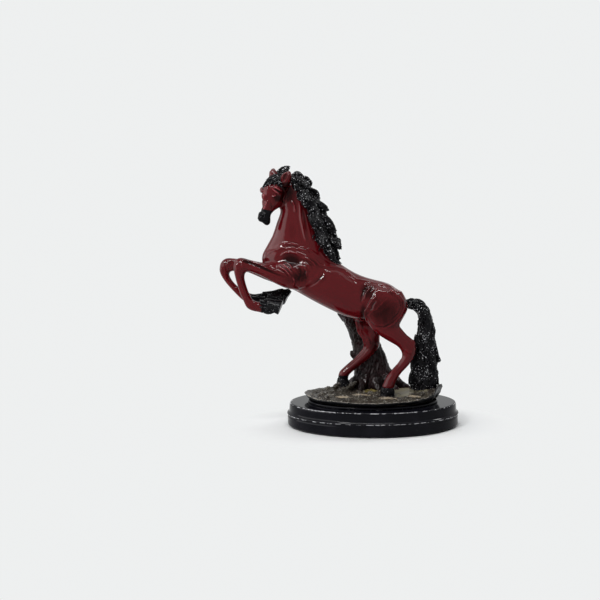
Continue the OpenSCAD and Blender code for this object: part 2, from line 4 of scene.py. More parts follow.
import bpy
import numpy as np
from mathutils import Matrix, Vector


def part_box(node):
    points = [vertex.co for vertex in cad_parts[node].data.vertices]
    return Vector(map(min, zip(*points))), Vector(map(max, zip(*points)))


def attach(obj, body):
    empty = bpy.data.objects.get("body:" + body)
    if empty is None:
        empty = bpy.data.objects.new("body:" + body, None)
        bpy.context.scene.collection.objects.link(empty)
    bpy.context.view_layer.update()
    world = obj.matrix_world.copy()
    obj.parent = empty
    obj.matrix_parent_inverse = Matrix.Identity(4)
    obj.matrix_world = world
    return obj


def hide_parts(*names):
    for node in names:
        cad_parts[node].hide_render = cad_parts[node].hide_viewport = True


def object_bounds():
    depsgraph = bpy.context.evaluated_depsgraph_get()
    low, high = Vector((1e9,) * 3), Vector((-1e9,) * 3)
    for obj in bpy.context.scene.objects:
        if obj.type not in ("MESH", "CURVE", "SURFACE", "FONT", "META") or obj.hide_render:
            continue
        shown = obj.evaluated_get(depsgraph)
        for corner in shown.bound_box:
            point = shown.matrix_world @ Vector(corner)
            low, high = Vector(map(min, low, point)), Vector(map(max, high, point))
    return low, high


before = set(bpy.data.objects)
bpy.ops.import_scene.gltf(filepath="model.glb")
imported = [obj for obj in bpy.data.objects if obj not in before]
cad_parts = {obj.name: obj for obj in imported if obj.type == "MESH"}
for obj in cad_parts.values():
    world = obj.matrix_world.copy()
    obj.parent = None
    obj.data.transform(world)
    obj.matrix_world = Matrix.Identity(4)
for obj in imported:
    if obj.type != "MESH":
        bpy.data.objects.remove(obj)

import openvdb
from mathutils import Vector, noise

MM = 0.001


def put(name, data):
    """A new object in the scene."""
    made = bpy.data.objects.new(name, data)
    bpy.context.scene.collection.objects.link(made)
    return made


def corners(name):
    """The low and the high corner of a casting's box, in millimetres."""
    return [np.array(corner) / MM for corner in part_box(name)]


def unit(ways, least=1e-6):
    """The same directions, each with a length of one."""
    return ways / np.maximum(np.linalg.norm(ways, axis=-1, keepdims=True), least)


cad_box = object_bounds()
print("castings", len(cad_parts))
print("box in mm", [[round(c / MM, 1) for c in corner] for corner in cad_box])

# %% [markdown]
# ## The camera
# The photograph shows the horse a little right of the middle, seen level from the front.
# A lens could be turned towards it, but that would tilt the plinth. A view camera slides its
# lens instead, so the shift below keeps every upright line upright. The same numbers give the
# photograph's pixel of any point, which later cells use to carve muscles where they show.

# %% Place the camera
FRAME_PIXELS = 600
AHEAD_PIXEL = (372.8, 263.7)
PIXEL_MM = 0.97
CAMERA_MM = 620
CAMERA_HEIGHT_MM = 155
SENSOR_MM = 36

camera = put("camera", bpy.data.cameras.new("camera"))
camera.location = (0, -CAMERA_MM * MM, CAMERA_HEIGHT_MM * MM)
camera.rotation_euler = (math.radians(90), 0, 0)
camera.data.sensor_width = SENSOR_MM
camera.data.lens = SENSOR_MM * CAMERA_MM / (PIXEL_MM * FRAME_PIXELS)
camera.data.shift_x = (FRAME_PIXELS / 2 - AHEAD_PIXEL[0]) / FRAME_PIXELS
camera.data.shift_y = (AHEAD_PIXEL[1] - FRAME_PIXELS / 2) / FRAME_PIXELS
camera.data.clip_start = 10 * MM
bpy.context.scene.camera = camera


def pixels(points, depth=None):
    """The photograph's pixels of points in millimetres, at their own depth or at another one."""
    depth = points[:, 1] if depth is None else depth
    scale = PIXEL_MM * (1 + depth / CAMERA_MM)
    return np.stack([AHEAD_PIXEL[0] + points[:, 0] / scale,
                     AHEAD_PIXEL[1] - (points[:, 2] - CAMERA_HEIGHT_MM) / scale], 1)


def spot(u, v, depth=0.0):
    """The point in millimetres that a pixel shows at one depth."""
    scale = PIXEL_MM * (1 + depth / CAMERA_MM)
    return np.array([(u - AHEAD_PIXEL[0]) * scale, depth, CAMERA_HEIGHT_MM + (AHEAD_PIXEL[1] - v) * scale])


print("lens", round(camera.data.lens, 2), "mm, shift", round(camera.data.shift_x, 3), round(camera.data.shift_y, 3))

# %% [markdown]
# ## Shader sums
# A finish is mostly arithmetic: how much wash and painted shade lie in a hollow, how much
# painted highlight an edge gets. Wiring each Math node by hand hides that arithmetic. The small
# class below wraps a socket, so that `shade * 0.8 + grain` adds the nodes by itself, and
# everything else comes from one method.


# %% A socket that can be used in sums
class Value:
    def __init__(self, finish, socket):
        self.finish = finish
        self.socket = socket

    def math(self, operation, first, second):
        return self.finish.node("ShaderNodeMath", {"operation": operation}, {0: first, 1: second})

    def __add__(self, other):
        return self.math("ADD", self, other)

    def __sub__(self, other):
        return self.math("SUBTRACT", self, other)

    def __rsub__(self, other):
        return self.math("SUBTRACT", other, self)

    def __mul__(self, other):
        return self.math("MULTIPLY", self, other)

    __radd__ = __add__
    __rmul__ = __mul__


# %% [markdown]
# Every finish starts as one shader with the object's own coordinates. The methods are the few
# recipes that all of them share, so a finish below reads as a list of what is laid over what.


# %% A finish on the bench
class Finish:
    """One material. Its node method makes any node, its other methods are the recipes used most."""

    def __init__(self, name):
        self.material = bpy.data.materials.new(name)
        self.material.use_nodes = True
        self.tree = self.material.node_tree
        self.shader = self.tree.nodes["Principled BSDF"]
        self.place = self.node("ShaderNodeTexCoord", output="Object")

    def node(self, kind, settings=None, inputs=None, output=0):
        made = self.tree.nodes.new(kind)
        for name, value in (settings or {}).items():
            setattr(made, name, value)
        self.wire(made, inputs or {})
        return Value(self, made.outputs[output])

    def wire(self, node, inputs):
        for key, value in inputs.items():
            if isinstance(value, Value):
                self.tree.links.new(value.socket, node.inputs[key])
            else:
                node.inputs[key].default_value = value

    def grain(self, size, detail=2.0, stretch=(1, 1, 1)):
        """Noise from 0 to 1 with lumps of this size in millimetres, drawn out along the axes."""
        across = self.node("ShaderNodeVectorMath", {"operation": "MULTIPLY"},
                           {0: self.place, 1: [1 / (size * MM * s) for s in stretch]})
        return self.node("ShaderNodeTexNoise", None, {"Vector": across, "Scale": 1.0, "Detail": detail})

    def step(self, value, low, high):
        """Rises smoothly from 0 to 1 as the value goes from low to high."""
        return self.node("ShaderNodeMapRange", {"interpolation_type": "SMOOTHSTEP"},
                         {"Value": value, "From Min": low, "From Max": high})

    def mark(self, name):
        """A number that the sculptor left on the mesh, such as how deep the wash and painted shade lie."""
        return self.node("ShaderNodeAttribute", {"attribute_name": name}, output="Fac")

    def colours(self, amount, first, second):
        def opaque(c):
            return c if isinstance(c, Value) else (*c, 1)
        return self.node("ShaderNodeMix", {"data_type": "RGBA"},
                         {0: amount, 6: opaque(first), 7: opaque(second)}, output=2)

    def bump(self, height, depth):
        """Raises the surface by the height, from 0 to 1, times the depth in millimetres."""
        return self.node("ShaderNodeBump", None, {"Height": height, "Distance": depth * MM, "Strength": 1.0})

    def coat(self, **inputs):
        """Sets the shader's sockets, such as base_color, and returns the material."""
        names = {name.replace("_", " ").title(): value for name, value in inputs.items()}
        names = {name.replace("Ior", "IOR"): value for name, value in names.items()}
        self.wire(self.shader, names)
        return self.material


# %% [markdown]
# ## The lacquer
# The horse is sprayed with a clear deep red. A dark brown lies in its folds, as a wash that is
# also painted shade, and painted shadow is laid in broad patches, so the sculpting cells leave
# marks on the mesh: one where the dark lies, one for how far each ridge stands out, and one
# where the muzzle and feet were dipped. The ridges are painted a lighter red, as painted
# highlights. A ramp over a picture could do this too, but the marks follow the carved forms
# exactly. The gloss is a thin clear coat over a duller base, which gives both the sharp and the
# soft highlights.

# %% Mix the lacquer
RED = (0.094, 0.0032, 0.0054)
# Lighter reds of the painted highlights on the ridges.
RIDGE_HIGHLIGHT_RED = (0.17, 0.007, 0.011)
PALE_HIGHLIGHT_RED = (0.33, 0.085, 0.095)
# Dark browns of the wash and painted shade in the folds.
SHADE_AND_WASH_BROWN = (0.02, 0.0012, 0.0014)
DEEP_SHADE_AND_WASH = (0.008, 0.0014, 0.0013)
BLACK = (0.0045, 0.0042, 0.0052)


def lacquer():
    f = Finish("lacquer")
    blotch = f.grain(14, 3)
    speck = f.grain(1.3, 4)
    # Dark where the hollows hold a wash that is also painted shade, and where painted shadow is laid.
    laid = f.mark("wash_and_shade") + (blotch - 0.5) * 0.35 + (speck - 0.5) * 0.2
    wash_and_shade = f.step(laid, 0.1, 0.8)
    # The ridges turn a lighter red: painted highlights.
    wear_and_highlight = f.step(f.mark("ridge") + (blotch - 0.5) * 0.3, 0.1, 0.9)
    red = f.colours(wear_and_highlight * 0.75, RED, RIDGE_HIGHLIGHT_RED)
    red = f.colours(f.step(wear_and_highlight, 0.6, 0.95) * 0.5, red, PALE_HIGHLIGHT_RED)
    base = f.colours(wash_and_shade, red, SHADE_AND_WASH_BROWN)
    deep = f.step(laid, 0.75, 1.15)
    base = f.colours(deep, base, DEEP_SHADE_AND_WASH)
    dipped = f.step(f.mark("black") + (speck - 0.5) * 0.25, 0.4, 0.62)
    base = f.colours(dipped, base, BLACK)
    skin = f.grain(2.6, 2) * 0.7 + f.grain(0.7, 1) * 0.3
    return f.coat(base_color=base, roughness=0.4 - wear_and_highlight * 0.06 + wash_and_shade * 0.1, specular_ior_level=0.0,
                  coat_weight=1 - wash_and_shade * 0.55 - dipped * 0.6, coat_roughness=0.04, coat_ior=1.26,
                  normal=f.bump(skin, 0.03))


LACQUER = lacquer()

# %% [markdown]
# ## Gloss black
# Mane, tail and hooves are one coat of black over carved strands. Black shows only its
# highlights, so part of the finish is in the roughness, and dust dulls the grooves a little.
# Specks of silver grey are painted on the tops of the strands, as painted glints.


# %% Mix the blacks
def gloss_black(name, rough, lift, dust, glint_paint):
    f = Finish(name)
    speck = f.grain(0.9, 3)
    haze = f.grain(9, 2)
    hollow = f.step(f.mark("wash_and_shade") + (speck - 0.5) * 0.3, 0.1, 0.9)
    # Silver specks on the strand tops: painted glints.
    silver_glints = f.step(f.mark("ridge") * 0.6 + (f.grain(1.3, 1) - 0.5) * 2.6 + (haze - 0.5) * 0.9, 0.56, 0.68)
    base = f.colours(hollow * dust, BLACK, (0.008, 0.007, 0.0065))
    base = f.colours(f.step(haze, 0.45, 0.75) * lift, base, (0.009, 0.0085, 0.011))
    base = f.colours(silver_glints * glint_paint, base, (0.62, 0.63, 0.65))
    return f.coat(base_color=base, roughness=rough + hollow * 0.25 + speck * 0.08, specular_ior_level=0.0,
                  coat_weight=0.72 - hollow * 0.6, coat_roughness=0.06, coat_ior=1.18, normal=f.bump(speck, 0.04))


HAIR_BLACK = gloss_black("hair_black", 0.2, 0.5, 0.5, 0.9)
HOOF_BLACK = gloss_black("hoof_black", 0.16, 0.4, 0.5, 0.2)

# %% [markdown]
# ## Clay in voxels
# A sculptor builds a figure over an armature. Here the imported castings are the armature. Each
# is turned into a box of distances to its surface, and two such boxes are pressed together
# with a soft minimum, which leaves a fillet like a thumb would. The alternative, joining
# meshes with booleans, leaves hard lines at every shoulder and hip.

# %% Boxes of clay
FAR = 8.0


class Clay:
    """A box of voxels that hold distances from a surface in millimetres, negative inside it."""

    def __init__(self, low, high, pitch):
        self.pitch = pitch
        self.first = np.floor(np.array(low) / pitch).astype(int)
        self.count = np.ceil(np.array(high) / pitch).astype(int) - self.first + 1
        self.dist = np.full(self.count, FAR, np.float32)

    def casting(self, name):
        """Distances from one packed casting, sampled in this box."""
        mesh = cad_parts[name].data
        mesh.calc_loop_triangles()
        points = np.zeros(3 * len(mesh.vertices), np.float32)
        mesh.vertices.foreach_get("co", points)
        triangles = np.zeros(3 * len(mesh.loop_triangles), np.int32)
        mesh.loop_triangles.foreach_get("vertices", triangles)
        band = math.ceil(FAR / self.pitch)
        grid = openvdb.FloatGrid.createLevelSetFromPolygons(
            points.reshape(-1, 3) / MM, triangles=triangles.reshape(-1, 3).astype(np.uint32),
            transform=openvdb.createLinearTransform(voxelSize=self.pitch), exBandWidth=band, inBandWidth=band)
        found = np.full(self.count, FAR, np.float32)
        grid.copyToArray(found, ijk=tuple(int(v) for v in self.first))
        return found

    def press(self, found, blend, where=...):
        """Joins distances to this clay with a fillet of about this many millimetres."""
        here = self.dist[where]
        share = np.clip(0.5 + 0.5 * (here - found) / blend, 0, 1)
        self.dist[where] = here + ((found - here) * share - blend * share * (1 - share))

    def rods(self, path, radii, blend=0.0):
        """Lays a rope of round rods along a path, hard against the clay or with a small fillet."""
        for a, b, ra, rb in zip(path[:-1], path[1:], radii[:-1], radii[1:]):
            reach = max(ra, rb) + 1.5 + blend
            start = np.floor((np.minimum(a, b) - reach) / self.pitch).astype(int) - self.first
            end = np.ceil((np.maximum(a, b) + reach) / self.pitch).astype(int) - self.first + 1
            start = np.clip(start, 0, self.count)
            end = np.clip(end, 0, self.count)
            if np.any(end <= start):
                continue
            where = tuple(slice(i, j) for i, j in zip(start, end))
            x, y, z = (((np.arange(i, j) + f) * self.pitch - o).astype(np.float32)
                       for i, j, f, o in zip(start, end, self.first, a))
            x, y, z = x[:, None, None], y[None, :, None], z[None, None, :]
            run = (b - a).astype(np.float32)
            along = np.clip((x * run[0] + y * run[1] + z * run[2]) / max(float(run @ run), 1e-9), 0, 1)
            gap = np.sqrt((x - along * run[0]) ** 2 + (y - along * run[1]) ** 2 + (z - along * run[2]) ** 2)
            found = gap - (ra + (rb - ra) * along)
            if blend:
                self.press(found, blend, where)
            else:
                np.minimum(self.dist[where], found, out=self.dist[where])

    def sample(self, points, field=None):
        """Distances at points in millimetres, read between the voxels."""
        field = self.dist if field is None else field
        at = np.clip(points / self.pitch - self.first, 0, self.count - 1.001)
        low = at.astype(int)
        part = at - low
        total = np.zeros(len(points))
        for corner in range(8):
            step = np.array([corner & 1, corner >> 1 & 1, corner >> 2])
            weight = np.prod(np.where(step, part, 1 - part), 1)
            total += weight * field[tuple((low + step).T)]
        return total

    def slope(self, points):
        """Directions straight out of the clay at points."""
        reach = 1.5 * self.pitch
        return unit(np.stack([self.sample(points + reach * axis) - self.sample(points - reach * axis)
                              for axis in np.eye(3)], 1))

    def skin(self, name):
        """The surface of this clay as a sculpt."""
        grid = openvdb.FloatGrid(FAR)
        grid.copyFromArray(self.dist, ijk=tuple(int(v) for v in self.first))
        grid.transform = openvdb.createLinearTransform(voxelSize=self.pitch)
        points, quads = grid.convertToQuads(0.0)
        return Sculpt(name, points.astype(float), quads.astype(int))


def box_of(name, margin, pitch, filled=True):
    """Clay in the box of one casting and a margin round it, filled with the casting or empty."""
    low, high = corners(name)
    clay = Clay(low - margin, high + margin, pitch)
    if filled:
        clay.dist[:] = clay.casting(name)
    return clay


# %% [markdown]
# ## A sculpt on the stand
# Once the clay has a skin, tools work on its points: a damp sponge (relax) takes out the
# marks of the voxels, a thumb pushes muscles out and a loop tool cuts creases. The hollows are
# found last, by comparing the surface with a well sponged copy: where the copy stands
# proud there is a hollow, and a dark wash lies in it that is also painted shade.


# %% Tools for a sculpt
class Sculpt:
    """Points and four-sided faces of one piece, in millimetres, while it is worked on."""

    def __init__(self, name, points, quads):
        self.name = name
        self.points = points
        self.quads = quads
        sides = np.sort(np.concatenate([quads[:, [k, (k + 1) % 4]] for k in range(4)]), axis=1)
        self.edges = np.unique(sides, axis=0)
        self.edges = self.edges[self.edges[:, 0] != self.edges[:, 1]]
        self.degree = np.maximum(np.bincount(self.edges.ravel(), minlength=len(points)), 1)
        self.turn()
        self.wash_and_shade = np.zeros(len(points))
        self.black = np.zeros(len(points))

    def around(self, values):
        """Mean of the neighbours of each point."""
        one, two = self.edges.T
        count = len(self.points)
        rows = [np.bincount(one, v[two], count) + np.bincount(two, v[one], count)
                for v in np.atleast_2d(values.T)]
        return (np.array(rows) / self.degree).T if values.ndim == 2 else rows[0] / self.degree

    def sponge(self, values, rounds, strength=0.6):
        """The values after each point's has been drawn towards its neighbours', round by round."""
        for _ in range(rounds):
            values = values + strength * (self.around(values) - values)
        return values

    def relax(self, rounds, strength=0.6):
        self.points = self.sponge(self.points, rounds, strength)
        self.turn()

    def turn(self):
        """Finds which way the surface faces at each point."""
        a, b, c, d = (self.points[self.quads[:, k]] for k in range(4))
        faces = np.cross(c - a, d - b)
        count = len(self.points)
        total = np.stack([sum(np.bincount(self.quads[:, k], faces[:, axis], count) for k in range(4))
                          for axis in range(3)], 1)
        self.normals = unit(total, 1e-9)

    def push(self, heights):
        """Moves the surface out by these heights in millimetres."""
        self.points = self.points + self.normals * heights[:, None]
        self.turn()

    def hollows(self, rounds=14, scale=0.28):
        """Marks hollows, where the wash and painted shade lie, and how far the ridges stand out."""
        calm = self.sponge(self.points, rounds)
        depth = np.einsum("ij,ij->i", calm - self.points, self.normals) / scale
        self.wash_and_shade = np.clip(self.wash_and_shade + np.clip(depth, -0.3, 1), 0, 1)
        return np.clip(-depth, 0, 1)

    def cast(self, material, slot, *nodes, **marks):
        """Makes the Blender object, in place of the castings that it stands for."""
        mesh = bpy.data.meshes.new(self.name)
        mesh.vertices.add(len(self.points))
        mesh.vertices.foreach_set("co", (self.points * MM).astype(np.float32).ravel())
        mesh.loops.add(4 * len(self.quads))
        mesh.loops.foreach_set("vertex_index", self.quads.astype(np.int32).ravel())
        mesh.polygons.add(len(self.quads))
        mesh.polygons.foreach_set("loop_start", np.arange(0, 4 * len(self.quads), 4, dtype=np.int32))
        mesh.update(calc_edges=True)
        finish_piece(mesh, material, nodes, {"wash_and_shade": self.wash_and_shade, "black": self.black, **marks})


def finish_piece(mesh, material, nodes, marks):
    """Stands a mesh in the scene, in place of its castings, with its marks and its finish."""
    mesh.validate()
    mesh.polygons.foreach_set("use_smooth", np.ones(len(mesh.polygons), bool))
    for mark, values in marks.items():
        layer = mesh.attributes.new(mark, "FLOAT", "POINT")
        layer.data.foreach_set("value", (np.zeros(len(mesh.vertices)) + values).astype(np.float32))
    mesh.materials.append(material)
    made = put(mesh.name, mesh)
    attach(made, "root")
    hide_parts(*nodes)
    print(mesh.name, len(mesh.polygons), "faces")


# %% [markdown]
# ## Carving marks
# Muscles are swells with soft shoulders, and the lines between them are creases. Both are
# placed by the photograph's pixels on the side that it shows. The trunk has the same muscles
# on its far side, so there the marks are laid mirrored. The head has its own straight axes,
# because it turns towards the viewer and leans.


# %% Distance from a drawn line
def nearest_run(at, line, slack=0.0):
    """Distance from a line of straight runs, the nearest run's number, and the share along it."""
    best = np.full(len(at), 1e9)
    number = np.zeros(len(at), int)
    share = np.zeros(len(at))
    for k, (a, run) in enumerate(zip(line[:-1], np.diff(line, axis=0))):
        along = np.clip((at - a) @ run / (run @ run), 0, 1)
        gap = np.linalg.norm(at - a - along[:, None] * run, axis=1)
        nearer = gap < best - slack
        best = np.where(nearer, gap, best)
        number = np.where(nearer, k, number)
        share = np.where(nearer, along, share)
    return best, number, share


def from_line(at, line):
    """Distance of flat points from a line, and a taper that fades at its ends."""
    line = np.array(line, float)
    lengths = np.linalg.norm(np.diff(line, axis=0), axis=1)
    best, number, along = nearest_run(at, line)
    starts = np.concatenate([[0], np.cumsum(lengths)])
    share = (starts[number] + along * lengths[number]) / starts[-1]
    return best, np.clip(np.minimum(share, 1 - share) / 0.2, 0, 1) ** 0.7


def carve(at, lines):
    """Heights for rows of width, height and line: a cut where the height is negative."""
    total = np.zeros(len(at))
    for width, height, line in lines:
        gap, taper = from_line(at, line)
        total += height * taper * np.exp(-(gap / width) ** 2)
    return total


def swell(at, rows):
    """Heights for rows of centre, half length, half width, tilt in degrees and height."""
    total = np.zeros(len(at))
    for u, v, long, short, tilt, height in rows:
        c, s = math.cos(math.radians(tilt)), math.sin(math.radians(tilt))
        along = ((at[:, 0] - u) * c + (at[:, 1] - v) * s) / long
        across = ((at[:, 1] - v) * c - (at[:, 0] - u) * s) / short
        total += height * np.exp(-(along ** 2 + across ** 2) ** 1.4)
    return total


# %% [markdown]
# ## Floor and light
# A glossy figure is lit mostly by what it mirrors. Here it stands in a pale tent: the camera,
# the gloss and anything clear all see the same plain backdrop. What lights the paint itself is
# a sky that is dim on the camera's side, and soft panels, so the red stays deep. A stronger
# sky would whiten the backdrop too, but it would turn the red pink. Three of the lamps are
# reflector cards. They show in the gloss, as a white card held near the figure would, and
# light nothing else.


# %% Lay the floor and hang the lights
BACKDROP = (0.855, 0.868, 0.868)
FRONT_DIM = (0.03, 0.03, 0.034)
BACK_BRIGHT = (0.50, 0.52, 0.53)
SEEN_BY = ("Is Camera Ray", "Is Glossy Ray", "Is Transmission Ray")
SKY_TURNS = (-0.15, 0.8)
SWEEP = (1.05, 1.7)
FLOOR_REACH_MM = 3000
LAMPS_FACE = (-30, 0, 140)
LAMPS = [
    ("panel_top", (60, 140, 1100), (900, 700), 2.2), ("panel_left", (-930, -310, 440), (1200, 1000), 5.4),
    ("key_left", (-380, -560, 640), (170, 120), 2.2), ("key_top", (-60, -300, 900), (600, 60), 2.4),
    ("rim_right", (520, 260, 700), (110, 110), 1.2), ("card_left", (-895, -370, 440), (1200, 1000), 7.5),
    ("card_key", (-375, -555, 636), (170, 120), 3.2), ("card_top", (-58, -298, 895), (600, 60), 4.4),
]


def studio():
    """A sky that is dim on the camera's side, behind the backdrop that the camera and the gloss see."""
    world = bpy.data.worlds.new("studio")
    bpy.context.scene.world = world
    world.use_nodes = True
    tree = world.node_tree

    def add(kind, settings=None, inputs=None, output=0):
        made = tree.nodes.new(kind)
        for name, value in (settings or {}).items():
            setattr(made, name, value)
        for key, value in (inputs or {}).items():
            if isinstance(value, bpy.types.NodeSocket):
                tree.links.new(value, made.inputs[key])
            else:
                made.inputs[key].default_value = value
        return made.outputs[output]

    def total(first, second):
        return add("ShaderNodeMath", {"operation": "ADD", "use_clamp": True}, {0: first, 1: second})

    along = add("ShaderNodeSeparateXYZ", None, {0: add("ShaderNodeTexCoord")}, output="Y")
    back = add("ShaderNodeMapRange", None, {"Value": along, "From Min": SKY_TURNS[0], "From Max": SKY_TURNS[1]})
    colour = add("ShaderNodeMix", {"data_type": "RGBA"},
                 {0: back, 6: (*FRONT_DIM, 1), 7: (*BACK_BRIGHT, 1)}, output=2)
    by_camera, by_gloss, through_glass = (add("ShaderNodeLightPath", output=name) for name in SEEN_BY)
    seen = total(total(by_camera, by_gloss), through_glass)
    sky = add("ShaderNodeBackground", None, {"Color": colour})
    plain = add("ShaderNodeBackground", None, {"Color": (*BACKDROP, 1)})
    tree.links.new(add("ShaderNodeMixShader", None, {0: seen, 1: sky, 2: plain}),
                   tree.nodes["World Output"].inputs["Surface"])


def panel(name, place, size, watts):
    """Hangs a soft lamp that faces the figure. A card shows in the gloss and lights nothing else."""
    light = bpy.data.lights.new(name, "AREA")
    light.shape = "RECTANGLE"
    light.size, light.size_y = (s * MM for s in size)
    light.energy = watts
    made = put(name, light)
    made.location = Vector(place) * MM
    made.rotation_euler = (Vector(LAMPS_FACE) - Vector(place)).to_track_quat("-Z", "Y").to_euler()
    made.visible_diffuse = not name.startswith("card")


def floor():
    """A pale sweep: real floor near the plinth, where the shadow falls, and plain backdrop further off."""
    f = Finish("floor")
    half_length, half_width = cad_box[1][0], cad_box[1][1]
    reach = f.node("ShaderNodeVectorMath", {"operation": "MULTIPLY"},
                   {0: f.place, 1: (1 / half_length, 1 / half_width, 0)})
    reach = f.node("ShaderNodeVectorMath", {"operation": "LENGTH"}, {0: reach}, output="Value")
    pale = f.colours(f.grain(120, 3), (0.86, 0.87, 0.87), (0.89, 0.90, 0.90))
    near = f.coat(base_color=pale, roughness=0.8)
    far = f.node("ShaderNodeEmission", None, {"Color": (*BACKDROP, 1), "Strength": 1.0})
    by_camera, by_gloss, through_glass = (f.node("ShaderNodeLightPath", output=name) for name in SEEN_BY)
    share = f.step(reach, *SWEEP) * (by_camera + by_gloss + through_glass)
    mixed = f.node("ShaderNodeMixShader", None, {0: share, 1: Value(f, f.shader.outputs[0]), 2: far})
    f.tree.links.new(mixed.socket, f.tree.nodes["Material Output"].inputs["Surface"])
    edge = FLOOR_REACH_MM * MM
    mesh = bpy.data.meshes.new("floor")
    mesh.from_pydata([(-edge, -edge, 0), (edge, -edge, 0), (edge, edge, 0), (-edge, edge, 0)], [], [(0, 1, 2, 3)])
    mesh.materials.append(near)
    made = put("floor", mesh)


bpy.context.scene.view_settings.view_transform = "Standard"
studio()
floor()
for lamp in LAMPS:
    panel(*lamp)

# %% [markdown]
# ## The horse's own measures
# The head's axes come from the casting: it hangs from the poll, turned to the horse's left
# and leaning. In them the face is straight and even, so a mark on one cheek mirrors onto the
# other.

# %% Find the head's axes
CHEEK_HEIGHT = 194
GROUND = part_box("ground_slab")[0].z / MM + 5
HEAD_TURN = math.radians(47)
HEAD_LEAN = math.radians(12)
POLL = np.array([-0.43 * CHEEK_HEIGHT, 0, 1.025 * CHEEK_HEIGHT + GROUND])


def turned(axis, angle):
    c, s = math.cos(angle), math.sin(angle)
    about_z = [[c, -s, 0], [s, c, 0], [0, 0, 1]]
    about_x = [[1, 0, 0], [0, c, -s], [0, s, c]]
    return np.array(about_z if axis == "z" else about_x)


HEAD_AXES = turned("z", HEAD_TURN) @ turned("x", HEAD_LEAN)


def in_head(points):
    return (points - POLL) @ HEAD_AXES


def from_head(points):
    return np.asarray(points, float) @ HEAD_AXES.T + POLL


EYES = {side: np.array(sum(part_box("eye_" + side), Vector())) / 2 / MM for side in ("left", "right")}
EYE_AT = in_head(EYES["left"][None])[0]
print("poll", POLL.round(1), "left eye in the head's axes", EYE_AT.round(1))

# %% [markdown]
# ## Muscles and folds
# These tables are the anatomy. Swells are rows of pixel u, pixel v, half length, half width,
# tilt in degrees and height in millimetres. Lines are rows of width, height and the pixels
# that they pass through, and a negative height cuts.

# %% Marks on the trunk and the near legs
TRUNK_SWELLS = [
    (291, 260, 11.0, 6.6, 8, -1.2), (291, 268, 10, 6, 30, 1.2), (271, 257, 7, 6.5, 0, 1.3),
    (309, 270, 8, 11, 25, 1.2), (303, 255, 9, 3, 25, 0.5), (322, 261, 12, 4, 32, 0.5), (279, 248, 6, 3, -25, 0.7),
    (284, 222, 24, 5, -80, 0.5), (303, 222, 20, 3, 78, 0.35), (334, 286, 24, 12, 24, 0.4),
    (372, 289, 7, 6, 20, 0.8), (392, 291, 12, 6, 38, 0.6), (384, 311, 12, 10, 20, 0.6), (377, 323, 9, 5, 20, 0.5),
    (402, 309, 11, 4, 100, 0.5), (392, 338, 11, 5, 32, 0.6), (364, 292, 3.4, 8, 10, -0.9),
    (254, 265, 14, 4.5, 14, 0.6), (276, 277, 14, 6, 20, 0.9), (262, 273, 12, 3, 22, 0.3), (301, 278, 6, 4, 0, -0.7),
]
